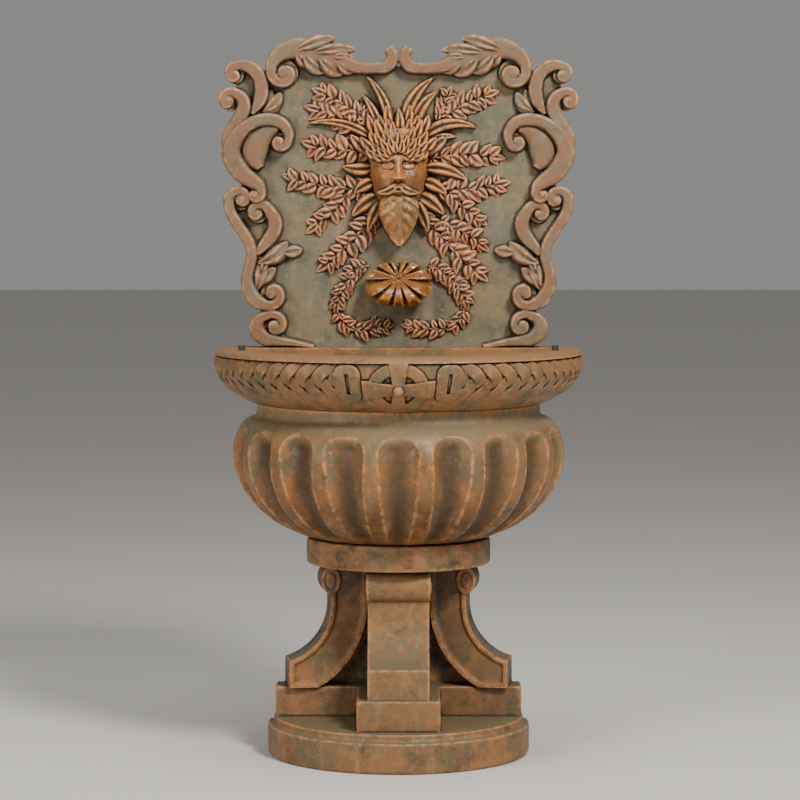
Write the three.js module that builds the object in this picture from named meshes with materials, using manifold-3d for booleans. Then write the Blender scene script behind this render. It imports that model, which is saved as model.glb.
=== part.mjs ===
// Cast-stone wall fountain in millimetres, +Z up. Its flat back faces +Y, the wall, and its front -Y.
// Every round plan shares one upright axis and is cut off flat at the wall plane, just behind that axis.
import * as THREE from 'three';
import Module from 'manifold-3d';

const wasm = await Module();
wasm.setup();

// Shared sizes
const WALL_PLANE = 30;
const BED_JOINT = 0.3;
const ROOT = 5;
const TURN_STEPS = 36;

// Pedestal
const BASE_RADIUS = 288;
const BASE_HEIGHT = 67;
const BASE_EDGE = 9;
const STEP_SETBACK = 14;
const STEP_HEIGHT = 16;
const PLINTH_HEIGHT = 66;
const CENTRE_PLINTH_WIDTH = 180;
const CENTRE_PLINTH_REACH = 238;
const SIDE_PLINTH_REACH = 270;
const SIDE_PLINTH_FRONT = 40;
const CONSOLE_HEIGHT = 271;
const CONSOLE_WIDTH = 133;
const CONSOLE_TOE_SETBACK = 11;
const SIDE_TOE_SETBACK = 26;
const CONSOLE_NECK = 90;
const SWEEP_CENTRE = 280;
const SWEEP_RADIUS = 128;
const BAND_THICKNESS = 80;
// Heights of the outer and inner sweep, as shares of the console below its neck
const OUTER_SWEEP_RISE = 0.707;
const INNER_SWEEP_RISE = 1.149;
const CONSOLE_BORDER = 12;
const CONSOLE_RECESS = 6;
const SIDE_CONSOLE_FRONT = 22;
const SIDE_CONSOLE_TURN = 8.5;
const VOLUTE_HALF_DEPTH = 20;
const VOLUTE_HALF_HEIGHT = 29;
const VOLUTE_OVERHANG = 2.5;
const VOLUTE_DROP = 36;
const CENTRE_RIB_WIDTH = 70;
const WEB_FRONT = 2;
const WEB_GROOVE = 7;
const WEB_BACKING = 14;
const WEB_LAP = 18;
const CAPITAL_RADIUS = 201.5;
const CAPITAL_HEIGHT = 56;
const CAPITAL_EDGE = 5;

// Fluted bowl
const BOWL_RADIUS = 363;
const BOWL_HEIGHT = 267;
const BOWL_BELLY = 189;
const BOWL_WALL = 38;
const BOWL_FLOOR = 40;
const BOWL_CORE_RADIUS = 120;
const BOWL_LOWER_DROP = 195;
const COLLAR_RADIUS = 310;
const COLLAR_HEIGHT = 30;
const COLLAR_WALL = 36;
const FLUTE_PITCH = 18.5;
const FLUTE_SIDE_COUNT = 5;
const FLUTE_TOP_WIDTH = 14.5;
const FLUTE_FOOT_WIDTH = 10.5;
const FLUTE_DEPTH = 14;
const FLUTE_HEAD = 250;
const FLUTE_FOOT = 4;

// Rim basin
const RIM_RADIUS = 404;
const BAND_SETBACK = 6;
const BASIN_FOOT_RADIUS = 312;
const BASIN_HEIGHT = 120;
const BASIN_CURVE_HEIGHT = 83;
const BASIN_CURVE_POWER = 1.55;
const LIP_WIDTH = 30;
const LIP_HEIGHT = 19;
const RIM_FLAT = 31;
const BASIN_SLOPE = 28;
const BASIN_FLOOR = 40;
const LEDGE_DEPTH = 75;
const PLAIT_TOP_MARGIN = 1;
const PLAIT_HEIGHT = 80;
const PLAIT_START = 92;
const PLAIT_PITCH = 40;
const STRAND_RELIEF = 6;
const PLAIT_GROUND = 0.6;
const CROSS_RELIEF = 10;
const CROSS_CENTRE_DROP = 70;
const CROSS_HALF_SPAN = 80;
const CROSS_ARM_WIDTH = 40;
const CROSS_WAIST = 25;
const CROSS_RING_RADIUS = 55;
const CROSS_RING_WIDTH = 30;
const CROSS_BOSS_RADIUS = 12;

// Back panel
const PANEL_HEIGHT = 683;
const PLATE_THICKNESS = 40;
const SCROLL_RELIEF = 30;
const LEAF_RELIEF = 15;
const HEAD_RELIEF = 84;
const SHELL_SEAT = 16;
const SHELL_RELIEF = 92;
const SHELL_HALF_WIDTH = 74;

// Rim plugs
const PLUG_RADIUS = 7.5;
const PLUG_HEIGHT = 10;
const PLUG_ANGLE = 67.5;

// Levels of the bed joints, from the ground up
const Z_STEP = BASE_HEIGHT;
const Z_PLINTH = Z_STEP + STEP_HEIGHT;
const Z_CONSOLE = Z_PLINTH + PLINTH_HEIGHT;
const Z_CAPITAL = Z_CONSOLE + CONSOLE_HEIGHT;
const Z_BOWL = Z_CAPITAL + CAPITAL_HEIGHT + BED_JOINT;
const Z_COLLAR = Z_BOWL + BOWL_HEIGHT;
const Z_BASIN = Z_COLLAR + COLLAR_HEIGHT + BED_JOINT;
const Z_RIM = Z_BASIN + BASIN_HEIGHT;
const Z_PANEL = Z_RIM + BED_JOINT;

const FAR = 2000;
const rad = THREE.MathUtils.degToRad;
const lerp = THREE.MathUtils.lerp;
const smooth = THREE.MathUtils.smoothstep;

// Solids from points

function solidOf(points, faces) {
  const volume = faces.reduce((sum, [a, b, c]) => {
    const [p, q, r] = [points[a], points[b], points[c]].map((v) => new THREE.Vector3(...v));
    return sum + p.dot(q.cross(r));
  }, 0);
  const outward = volume < 0 ? faces.map(([a, b, c]) => [a, c, b]) : faces;
  return new wasm.Manifold(new wasm.Mesh({
    numProp: 3,
    vertProperties: new Float32Array(points.flat()),
    triVerts: new Uint32Array(outward.flat()),
  }));
}

// A skin over equal rings of points, closed at both ends by a fan about the ring's middle.
// Where otherWay(i, j) is true, the quad between rings i and i + 1 is split along its other diagonal.
function loft(rings, otherWay = () => false) {
  const count = rings[0].length;
  const points = rings.flat();
  const faces = [];
  for (let i = 0; i + 1 < rings.length; i += 1) {
    for (let j = 0; j < count; j += 1) {
      const a = i * count + j;
      const b = i * count + ((j + 1) % count);
      if (otherWay(i, j)) faces.push([a, b, a + count], [b, b + count, a + count]);
      else faces.push([a, b, b + count], [a, b + count, a + count]);
    }
  }
  const middle = (ring) => [0, 1, 2].map((k) => ring.reduce((sum, p) => sum + p[k], 0) / count);
  const last = (rings.length - 1) * count;
  const first = points.push(middle(rings[0])) - 1;
  const final = points.push(middle(rings.at(-1))) - 1;
  for (let j = 0; j < count; j += 1) {
    const next = (j + 1) % count;
    faces.push([next, j, first], [last + j, last + next, final]);
  }
  return solidOf(points, faces);
}

// A flat outline drawn between two depths, each point placed by the function place(a, b, depth).
function prism(outline, near, far, place) {
  const count = outline.length;
  const flat = outline.map(([a, b]) => new THREE.Vector2(a, b));
  const points = [near, far].flatMap((depth) => outline.map(([a, b]) => place(a, b, depth)));
  const faces = [];
  for (const [a, b, c] of THREE.ShapeUtils.triangulateShape(flat, [])) {
    faces.push([a, c, b], [a + count, b + count, c + count]);
  }
  const clockwise = THREE.ShapeUtils.isClockWise(flat);
  for (let j = 0; j < count; j += 1) {
    const next = (j + 1) % count;
    const [a, b] = clockwise ? [next, j] : [j, next];
    faces.push([a, b, b + count], [a, b + count, a + count]);
  }
  return solidOf(points, faces);
}

const joined = (solids) => solids.reduce((whole, solid) => whole.add(solid));

function block(x0, x1, y0, y1, z0, z1) {
  return prism([[x0, z0], [x1, z0], [x1, z1], [x0, z1]], y0, y1, (x, z, y) => [x, y, z]);
}

// Turned shapes: a point at an angle from the front, at a radius and a height

const polar = (angle, radius, z) => [radius * Math.sin(angle), -radius * Math.cos(angle), z];

function turned(profile, steps = TURN_STEPS) {
  return loft(profile.map(([radius, z]) => Array.from({ length: steps }, (_, j) => (
    polar((j / steps) * 2 * Math.PI, radius, z)
  ))));
}

const behindWall = block(-FAR, FAR, WALL_PLANE, FAR, -FAR, FAR);
const cutAtWall = (solid) => solid.subtract(behindWall);
const belowLevel = (z) => block(-FAR, FAR, -FAR, FAR, -FAR, z);

function arc(centre, radii, from, to, steps) {
  return Array.from({ length: steps + 1 }, (_, i) => {
    const angle = rad(lerp(from, to, i / steps));
    return [centre[0] + radii[0] * Math.cos(angle), centre[1] + radii[1] * Math.sin(angle)];
  });
}

// Pedestal

const sweepCentre = [SWEEP_CENTRE, CONSOLE_HEIGHT - CONSOLE_NECK];

function consoleBand(toe, inset, foot) {
  const [centre, centreZ] = sweepCentre;
  const outer = [SWEEP_RADIUS + inset, centreZ * OUTER_SWEEP_RISE + inset];
  const inner = [SWEEP_RADIUS + BAND_THICKNESS - inset, centreZ * INNER_SWEEP_RISE - inset];
  const front = toe - inset;
  const outerEnd = 180 + THREE.MathUtils.radToDeg(Math.acos((centre - front) / outer[0]));
  const innerEnd = 180 + THREE.MathUtils.radToDeg(Math.asin((centreZ - foot) / inner[1]));
  const top = CONSOLE_HEIGHT - (inset ? VOLUTE_DROP + VOLUTE_HALF_HEIGHT : 0);
  return [
    [front, foot],
    ...arc(sweepCentre, outer, outerEnd, 180, 5),
    [centre - outer[0], top],
    [centre - inner[0], top],
    ...arc(sweepCentre, inner, 180, innerEnd, 5),
  ];
}

// One scrolled bracket, drawn by its reach and height and turned about the axis.
function scrolledConsole(toe, turn, near, far, recessNear, recessFar) {
  const place = (reach, z, across) => {
    const angle = rad(turn);
    return [
      reach * Math.sin(angle) + across * Math.cos(angle),
      -reach * Math.cos(angle) + across * Math.sin(angle),
      Z_CONSOLE + z,
    ];
  };
  const neck = SWEEP_CENTRE - SWEEP_RADIUS;
  const eye = [neck, CONSOLE_HEIGHT - VOLUTE_DROP];
  const ellipse = arc(eye, [VOLUTE_HALF_DEPTH, VOLUTE_HALF_HEIGHT], 0, 330, 11);
  const volute = prism(ellipse, near - VOLUTE_OVERHANG, far + VOLUTE_OVERHANG, place);
  let bracket = prism(consoleBand(toe, 0, 0), near, far, place);
  const recess = consoleBand(toe, CONSOLE_BORDER, CONSOLE_BORDER);
  if (recessNear) bracket = bracket.subtract(prism(recess, near - 1, near + CONSOLE_RECESS, place));
  if (recessFar) bracket = bracket.subtract(prism(recess, far - CONSOLE_RECESS, far + 1, place));
  return bracket.add(volute);
}

function pedestalSolid() {
  const step = BASE_RADIUS - STEP_SETBACK;
  const base = turned([
    [BASE_RADIUS - BASE_EDGE, 0],
    [BASE_RADIUS - BASE_EDGE * 0.3, BASE_EDGE * 0.3],
    [BASE_RADIUS, BASE_EDGE],
    [BASE_RADIUS, Z_STEP],
    [step + STEP_SETBACK * 0.25, Z_STEP + STEP_HEIGHT * 0.35],
    [step, Z_PLINTH],
  ]);
  const capitalTop = Z_CAPITAL + CAPITAL_HEIGHT;
  const capital = turned([
    [CAPITAL_RADIUS - CAPITAL_EDGE, Z_CAPITAL],
    [CAPITAL_RADIUS, Z_CAPITAL + CAPITAL_EDGE],
    [CAPITAL_RADIUS, capitalTop - CAPITAL_EDGE],
    [CAPITAL_RADIUS - CAPITAL_EDGE, capitalTop],
  ]);
  const half = CENTRE_PLINTH_WIDTH / 2;
  const plinths = joined([
    block(-half, half, -CENTRE_PLINTH_REACH, WALL_PLANE, Z_STEP, Z_CONSOLE),
    block(-SIDE_PLINTH_REACH, SIDE_PLINTH_REACH, -SIDE_PLINTH_FRONT, WALL_PLANE, Z_STEP, Z_CONSOLE),
  ]);
  const strip = CONSOLE_WIDTH / 2;
  const centre = scrolledConsole(CENTRE_PLINTH_REACH - CONSOLE_TOE_SETBACK, 0, -strip, strip, true, true);
  const sideToe = SIDE_PLINTH_REACH - SIDE_TOE_SETBACK;
  const turn = 90 - SIDE_CONSOLE_TURN;
  const behind = WALL_PLANE + SWEEP_CENTRE * Math.sin(rad(SIDE_CONSOLE_TURN));
  const right = scrolledConsole(sideToe, turn, -SIDE_CONSOLE_FRONT, behind, true, false);
  const left = scrolledConsole(sideToe, -turn, -behind, SIDE_CONSOLE_FRONT, false, true);
  const inner = SWEEP_RADIUS + BAND_THICKNESS;
  // The web stands between the consoles with a groove on each side, and the backing closes the groove behind.
  const sweep = arc(sweepCentre, [inner, sweepCentre[1] * INNER_SWEEP_RISE], 180, 238, 6);
  const edge = [[sweep[0][0], CONSOLE_HEIGHT + 1], ...sweep, [sweep.at(-1)[0], -1]];
  const betweenConsoles = (lap, near) => {
    const half = edge.map(([x, z]) => [x + lap, z]);
    const other = half.map(([x, z]) => [-x, z]).reverse();
    return prism([...half, ...other], near, WALL_PLANE, (x, z, y) => [x, y, Z_CONSOLE + z]);
  };
  const web = betweenConsoles(-WEB_GROOVE, WEB_FRONT);
  const backing = betweenConsoles(WEB_LAP, WALL_PLANE - WEB_BACKING);
  const ribHalf = CENTRE_RIB_WIDTH / 2;
  const rib = block(-ribHalf, ribHalf, -SWEEP_CENTRE + inner - 20, 8, Z_PLINTH, Z_CAPITAL + 1);
  return cutAtWall(joined([base, plinths, capital, centre, right, left, web, backing, rib]));
}

// Fluted bowl

function bowlProfile(scale) {
  const reach = BOWL_RADIUS - BOWL_CORE_RADIUS;
  const lower = arc([BOWL_CORE_RADIUS, BOWL_BELLY], [reach, BOWL_LOWER_DROP], -75.8, 0, 6);
  const shoulder = COLLAR_RADIUS + 3;
  const upper = arc([shoulder, BOWL_BELLY], [BOWL_RADIUS - shoulder, BOWL_HEIGHT - BOWL_BELLY], 0, 84, 5);
  return [...lower, ...upper.slice(1)].map(([radius, z]) => [radius + scale, z]);
}

function fluteHalfWidth(z) {
  const share = THREE.MathUtils.clamp((z - FLUTE_FOOT) / (FLUTE_HEAD - FLUTE_FOOT), 0, 1);
  const width = rad(lerp(FLUTE_FOOT_WIDTH, FLUTE_TOP_WIDTH, share)) / 2;
  const head = width * BOWL_RADIUS;
  const over = THREE.MathUtils.clamp((z - (FLUTE_HEAD - head)) / head, 0, 1);
  return Math.max(width * Math.sqrt(1 - over * over), width * 0.06);
}

function flutedBowlSolid() {
  const rows = bowlProfile(0).map(([radius, z]) => {
    const half = fluteHalfWidth(z);
    const fade = smooth(z, -1, FLUTE_FOOT + 20) * (1 - smooth(z, FLUTE_HEAD - 30, FLUTE_HEAD));
    const ring = [];
    for (let k = -FLUTE_SIDE_COUNT; k <= FLUTE_SIDE_COUNT; k += 1) {
      const middle = k * rad(FLUTE_PITCH);
      ring.push(polar(middle - rad(FLUTE_PITCH) / 2, radius, Z_BOWL + z));
      for (const share of [-1, -0.45, 0.45, 1]) {
        const cut = FLUTE_DEPTH * fade * (1 - share * share);
        ring.push(polar(middle + share * half, radius - cut, Z_BOWL + z));
      }
    }
    ring.push(polar((FLUTE_SIDE_COUNT + 0.5) * rad(FLUTE_PITCH), radius, Z_BOWL + z));
    ring.push(polar(Math.PI, radius, Z_BOWL + z));
    return ring;
  });
  const collar = turned([
    [COLLAR_RADIUS, Z_COLLAR - 12],
    [COLLAR_RADIUS, Z_COLLAR + COLLAR_HEIGHT],
  ]);
  const opening = COLLAR_RADIUS - COLLAR_WALL;
  const inside = bowlProfile(-BOWL_WALL)
    .filter(([radius, z]) => z > BOWL_FLOOR && (z < BOWL_BELLY || radius > opening))
    .map(([radius, z]) => [radius, Z_BOWL + z]);
  const hollow = turned([
    [inside[0][0] - 30, Z_BOWL + BOWL_FLOOR],
    ...inside,
    [opening, Z_COLLAR - BOWL_WALL / 2],
    [opening, Z_COLLAR + COLLAR_HEIGHT + 1],
  ], TURN_STEPS / 2).subtract(block(-FAR, FAR, WALL_PLANE - BOWL_WALL, FAR, -FAR, FAR));
  return cutAtWall(loft(rows).add(collar)).subtract(hollow);
}

// Rim basin

function rimRadius(z) {
  const drop = THREE.MathUtils.clamp((BASIN_CURVE_HEIGHT - z) / BASIN_CURVE_HEIGHT, 0, 1);
  const bulge = (1 - drop ** BASIN_CURVE_POWER) ** (1 / BASIN_CURVE_POWER);
  return lerp(BASIN_FOOT_RADIUS, RIM_RADIUS - BAND_SETBACK, bulge);
}

// A place on the band: the distance round the rim from the front, a height and a relief.
const onRim = (along, z, relief) => polar(along / RIM_RADIUS, rimRadius(z) + relief, Z_BASIN + z);

// A raised strand over the band, with a flat crown and sloping flanks.
function rimStrand(path, width, relief) {
  const rings = path.map(([along, z], i) => {
    const [a, b] = [path[Math.max(i - 1, 0)], path[Math.min(i + 1, path.length - 1)]];
    const run = Math.hypot(b[0] - a[0], b[1] - a[1]);
    const side = [-(b[1] - a[1]) / run, (b[0] - a[0]) / run];
    return [[-0.5, -ROOT], [-0.28, relief], [0.28, relief], [0.5, -ROOT]].map(([share, height]) => (
      onRim(along + side[0] * share * width, z + side[1] * share * width, height)
    ));
  });
  return loft(rings);
}

// Three plaited strands cross in a lattice: every other node is a strand's crown, and the rest are pits.
function plaitSolid(side) {
  const top = BASIN_HEIGHT - LIP_HEIGHT - PLAIT_TOP_MARGIN;
  const columnStep = PLAIT_PITCH / 2;
  const columns = Math.ceil((RIM_RADIUS * rad(97) - PLAIT_START) / columnStep);
  const rows = [0, 1, 2, 3].map((row) => top - PLAIT_HEIGHT * (1 / 6 + (row * 2) / 9));
  const foot = top - PLAIT_HEIGHT;
  const isCrown = (column, row) => (column + row) % 2 === 0;
  const rings = Array.from({ length: columns + 1 }, (_, i) => {
    const along = side * (PLAIT_START + i * columnStep);
    const nodes = rows.map((z, row) => onRim(along, z, isCrown(i, row) ? STRAND_RELIEF : PLAIT_GROUND));
    const edges = [[top, -ROOT], [top, PLAIT_GROUND], [foot, PLAIT_GROUND], [foot, -ROOT]];
    const [rootTop, edgeTop, edgeFoot, rootFoot] = edges.map(([z, relief]) => onRim(along, z, relief));
    return [rootTop, edgeTop, ...nodes, edgeFoot, rootFoot];
  });
  return loft(rings, (i, j) => !isCrown(i, j - 2));
}

function ringCrossSolid() {
  const centre = BASIN_HEIGHT - CROSS_CENTRE_DROP;
  const tall = BASIN_HEIGHT - LIP_HEIGHT + 4 - centre;
  const armWidth = (share) => lerp(CROSS_WAIST, CROSS_ARM_WIDTH, Math.min(1, Math.abs(share) * 1.25) ** 1.5);
  const arm = (from, to, point) => loft(Array.from({ length: 7 }, (_, i) => {
    const reach = lerp(from, to, i / 6);
    const width = armWidth(reach / Math.max(Math.abs(from), Math.abs(to)));
    const corners = [[-0.5, -ROOT], [-0.5, CROSS_RELIEF], [0.5, CROSS_RELIEF], [0.5, -ROOT]];
    return corners.map(([share, relief]) => point(reach, share * width, relief));
  }));
  const upright = arm(1 - centre, tall, (reach, across, relief) => onRim(across, centre + reach, relief));
  const level = (reach, across, relief) => onRim(reach, centre + across, relief);
  const beam = arm(-CROSS_HALF_SPAN, CROSS_HALF_SPAN, level);
  const ringPath = Array.from({ length: 17 }, (_, i) => [
    CROSS_RING_RADIUS * Math.sin((i / 16) * 2 * Math.PI),
    centre + CROSS_RING_RADIUS * 0.8 * Math.cos((i / 16) * 2 * Math.PI),
  ]);
  const halves = [ringPath.slice(0, 9), ringPath.slice(8)];
  const ring = halves.map((half) => rimStrand(half, CROSS_RING_WIDTH, CROSS_RELIEF * 0.7));
  const boss = loft([[1, 0], [1, 0.9], [0.6, 1.4]].map(([width, height]) => arc(
    [0, centre], [CROSS_BOSS_RADIUS * width, CROSS_BOSS_RADIUS * width], 0, 324, 9,
  ).map(([along, z]) => onRim(along, z, CROSS_RELIEF * height))));
  return joined([upright, beam, ...ring, boss]);
}

function rimBasinSolid() {
  const lipFoot = BASIN_HEIGHT - LIP_HEIGHT;
  const curve = Array.from({ length: 5 }, (_, i) => {
    const z = BASIN_CURVE_HEIGHT * (i / 4) ** 1.4;
    return [rimRadius(z), Z_BASIN + z];
  });
  const crest = RIM_RADIUS - LIP_WIDTH;
  const lip = arc([crest, Z_BASIN + lipFoot], [LIP_WIDTH, LIP_HEIGHT], 0, 90, 3);
  const body = turned([...curve, ...lip]);
  const mouth = crest - RIM_FLAT;
  const hollow = turned([
    [mouth - BASIN_SLOPE, Z_BASIN + BASIN_FLOOR],
    [mouth - BASIN_SLOPE * 0.3, Z_BASIN + BASIN_FLOOR + 14],
    [mouth, Z_RIM - 8],
    [mouth + 3, Z_RIM + 1],
  ]).subtract(block(-FAR, FAR, WALL_PLANE - LEDGE_DEPTH, FAR, -FAR, FAR));
  const carved = joined([body, plaitSolid(1), plaitSolid(-1), ringCrossSolid()]);
  return cutAtWall(carved.subtract(belowLevel(Z_BASIN))).subtract(hollow);
}

// Back panel: its carving is drawn from the middle of its foot, 683 high, and scaled to PANEL_HEIGHT

const CARVING = PANEL_HEIGHT / 683;
const PLATE_FRONT = WALL_PLANE - PLATE_THICKNESS;
const onPanel = (x, z, relief) => [x * CARVING, PLATE_FRONT - relief, Z_PANEL + z * CARVING];

// Each scroll is a centre line of x, height and half width, for one half of the panel.
const SCROLLS = {
  crest: [
    [22, 650, 10], [13, 630, 14], [25, 611, 14], [55, 606, 12], [88, 608, 13], [120, 619, 17],
    [155, 633, 21], [190, 645, 24], [224, 649, 23], [256, 638, 18], [274, 617, 14], [276, 597, 12],
    [262, 577, 10], [244, 574, 8],
  ],
  ear: [
    [317, 507, 4], [308, 523, 10], [300, 540, 14], [297, 562, 15], [301, 586, 15], [317, 605, 14],
    [338, 613, 12], [361, 608, 10], [371, 592, 8],
  ],
  shoulder: [
    [370, 436, 17], [356, 477, 17], [343, 501, 16], [335, 523, 15], [341, 543, 13], [358, 554, 11],
    [379, 549, 9],
  ],
  flank: [
    [296, 336, 9], [302, 350, 13], [318, 363, 17], [339, 377, 20], [356, 400, 21], [364, 426, 20],
    [355, 453, 18], [334, 477, 15], [308, 491, 14], [279, 495, 14], [253, 487, 13], [238, 465, 11],
    [240, 446, 9],
  ],
  side: [
    [345, 341, 9], [365, 335, 11], [368, 313, 12], [354, 274, 12], [337, 249, 12], [322, 215, 12],
    [324, 179, 12], [330, 153, 13], [327, 129, 15], [312, 103, 16], [291, 92, 13], [266, 97, 10],
  ],
  inner: [[309, 203, 6], [283, 234, 14], [270, 262, 15], [273, 287, 14], [288, 305, 11], [308, 308, 9]],
  foot: [[185, 2, 4], [225, 9, 7], [262, 14, 11], [293, 20, 16], [310, 40, 17], [303, 62, 13], [282, 72, 9]],
};
const SCROLL_EYES = [
  [247, 596, 20], [355, 592, 13], [368, 535, 14], [258, 447, 14], [312, 333, 11],
  [343, 320, 14], [277, 118, 16], [306, 290, 13], [271, 46, 18],
];
// Eyes farther out than this stand on the panel's edge and run back to the wall.
const OUTER_EYES = 342;
const PETAL = [[262, 476, 8], [283, 470, 20], [303, 452, 27], [313, 428, 29], [310, 406, 23], [301, 390, 10]];

function sideways(path, i) {
  const [a, b] = [path[Math.max(i - 1, 0)], path[Math.min(i + 1, path.length - 1)]];
  const run = Math.hypot(b[0] - a[0], b[1] - a[1]);
  return [-(b[1] - a[1]) / run, (b[0] - a[0]) / run];
}

// A band of carving along a centre line; each section point is a share of the half width and of the relief.
function carvedBand(path, side, relief, section, foot = BAND_FOOT) {
  return loft(path.map(([x, z, half], i) => {
    const across = sideways(path, i);
    return section.map(([share, height]) => onPanel(
      side * (x + across[0] * share * half),
      z + across[1] * share * half,
      height > 0 ? height * relief : foot,
    ));
  }));
}

// Scrolls run back to the wall, so their outer edges are the panel's outline.
const BAND_FOOT = -PLATE_THICKNESS - 1;
const FLAT_BAND = [[-1, 0], [-0.72, 1], [0.72, 1], [1, 0]];
const DOMED_BAND = [[-1, 0], [-0.75, 0.7], [0, 1], [0.75, 0.7], [1, 0]];

function scrollEye(side, x, z, radius, relief) {
  const atEdge = x > OUTER_EYES;
  const rings = [[1, atEdge ? BAND_FOOT : -ROOT], [0.8, relief]];
  return loft(rings.map(([share, height]) => (
    arc([side * x, z], [radius * share, radius * share], 0, 315, 7).map(([a, b]) => onPanel(a, b, height))
  )));
}

function plateSolid() {
  const { crest, ear, shoulder, flank, side, foot } = SCROLLS;
  const half = [
    ...crest.slice(2, 10), ...ear.slice(4, 7), [330, 560], ...shoulder.slice(0, 5).reverse(),
    ...flank.slice(2, 7).reverse(), [312, 345], ...side.slice(0, 12), [280, 88], [300, 66],
    ...foot.slice(3, 6).reverse(), [300, 0],
  ].map(([x, z]) => [x, z]);
  const other = half.map(([x, z]) => [-x, z]).reverse();
  return prism([...half, ...other], 0, PLATE_THICKNESS, (x, z, depth) => onPanel(x, z, -depth));
}

const BROAD_LEAF = [[0, 0], [0.25, -0.9], [0.66, -0.85], [1, 0], [0.66, 0.85], [0.25, 0.9]];
const LEAFLET = [[0, 0], [0.45, -1], [1, 0], [0.45, 1]];

// A pointed leaf that rises to one crown near its stalk.
function leafSolid([x0, z0, x1, z1, half], base, relief, outline = BROAD_LEAF) {
  const [dx, dz] = [x1 - x0, z1 - z0];
  const run = Math.hypot(dx, dz);
  const at = (share, across, lift) => onPanel(
    x0 + dx * share - (dz / run) * across * half,
    z0 + dz * share + (dx / run) * across * half,
    lift,
  );
  const foot = outline.map(([share, across]) => at(share, across, -ROOT));
  const [crown, below] = [foot.length, foot.length + 1];
  const faces = foot.flatMap((_, j) => {
    const next = (j + 1) % foot.length;
    return [[j, next, crown], [next, j, below]];
  });
  return solidOf([...foot, at(0.42, 0, base + relief), at(0.42, 0, -ROOT)], faces);
}

// A spray: leaflets in pairs along a stem, and one at its end.
function spray([x0, z0, x1, z1, pairs, size]) {
  const angle = Math.atan2(z1 - z0, x1 - x0);
  const leaves = [[x0, z0, lerp(x0, x1, 0.8), lerp(z0, z1, 0.8), size * 0.12]];
  leaves.push([lerp(x0, x1, 0.66), lerp(z0, z1, 0.66), x1, z1, size * 0.36]);
  for (let i = 0; i < pairs; i += 1) {
    const share = (i + 0.7) / (pairs + 0.9);
    for (const turn of [-1, 1]) {
      const lean = angle + turn * rad(52);
      const [x, z] = [lerp(x0, x1, share), lerp(z0, z1, share)];
      leaves.push([x, z, x + size * Math.cos(lean), z + size * Math.sin(lean), size * 0.36]);
    }
  }
  return leaves;
}

// Stem start, stem end, leaflet pairs and leaflet length
const SPRAYS = [
  [-66, 488, -184, 562, 2, 46], [-74, 474, -200, 524, 1, 46], [-56, 470, -80, 528, 0, 30],
  [-60, 430, -208, 444, 2, 46], [-62, 346, -250, 374, 3, 46], [-112, 336, -198, 246, 1, 44],
  [-44, 300, -172, 164, 2, 50],
  [76, 486, 216, 560, 2, 48], [84, 496, 112, 570, 1, 30],
  [62, 408, 228, 416, 2, 50], [62, 346, 240, 358, 2, 50], [106, 342, 190, 264, 1, 44],
  [44, 300, 190, 146, 2, 50], [84, 276, 196, 212, 1, 44],
  [-78, 168, -140, 72, 2, 34], [-132, 62, -22, 44, 2, 34],
  [78, 170, 154, 76, 2, 34], [142, 62, 22, 44, 2, 34],
];
// Leaves of the frame, mirrored on its other half: stalk, tip, half width, base height and relief
const FRAME_LEAVES = [
  [226, 648, 138, 676, 17, 14, 20], [190, 636, 94, 644, 14, 14, 20], [206, 642, 160, 597, 15, 14, 18],
  [172, 636, 122, 592, 15, 14, 18], [132, 622, 98, 598, 11, 14, 16],
  [304, 186, 254, 230, 15, 4, 18], [270, 208, 224, 211, 12, 4, 14], [311, 138, 304, 192, 14, 4, 18],
  [262, 508, 250, 558, 14, 4, 14], [288, 510, 262, 548, 15, 4, 14],
];

// Head: a calm mask of plain proportions, drawn on a face 174 high and 130 wide
const FACE_CENTRE = 383;
const FACE_HALF_HEIGHT = 88;
const FACE_HALF_WIDTH = 64;

function faceRelief(u, v) {
  const bump = (cu, cv, ru, rv) => Math.exp(-(((u - cu) / ru) ** 2) - (((v - cv) / rv) ** 2));
  const pair = (cu, cv, ru, rv) => bump(cu, cv, ru, rv) + bump(-cu, cv, ru, rv);
  const dome = Math.sqrt(Math.max(0, 1 - Math.abs(u) ** 2.3)) * (0.72 - 0.1 * v * v);
  const nose = 0.3 * bump(0, -0.2, 0.15, 0.13) + 0.2 * bump(0, 0.05, 0.12, 0.22);
  const brow = 0.07 * pair(0.36, 0.32, 0.28, 0.09);
  const socket = -0.12 * pair(0.4, 0.13, 0.2, 0.11);
  const cheek = 0.06 * pair(0.5, -0.2, 0.22, 0.2);
  const mouth = 0.08 * bump(0, -0.52, 0.26, 0.07) - 0.05 * bump(0, -0.45, 0.3, 0.025);
  const chin = 0.09 * bump(0, -0.82, 0.25, 0.12);
  return Math.max(0, dome + nose + brow + socket + cheek + mouth + chin);
}

function faceSolid() {
  const rows = 11;
  const columns = 10;
  return loft(Array.from({ length: rows + 1 }, (_, i) => {
    const v = lerp(-1, 1, i / rows);
    const breadth = Math.sqrt(Math.max(0.02, 1 - Math.abs(v) ** 2.4)) * lerp(0.86, 1, (v + 1) / 2);
    const ring = Array.from({ length: columns + 1 }, (_, j) => {
      const u = lerp(-1, 1, j / columns);
      const x = u * breadth * FACE_HALF_WIDTH;
      const fall = Math.sqrt(Math.max(0, 1 - v ** 6));
      const relief = HEAD_RELIEF * faceRelief(u, v) * lerp(0.55, 1, fall);
      return onPanel(x, FACE_CENTRE + v * FACE_HALF_HEIGHT, relief);
    });
    ring.push(onPanel(0, FACE_CENTRE + v * FACE_HALF_HEIGHT, -ROOT));
    return ring;
  }));
}

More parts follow.
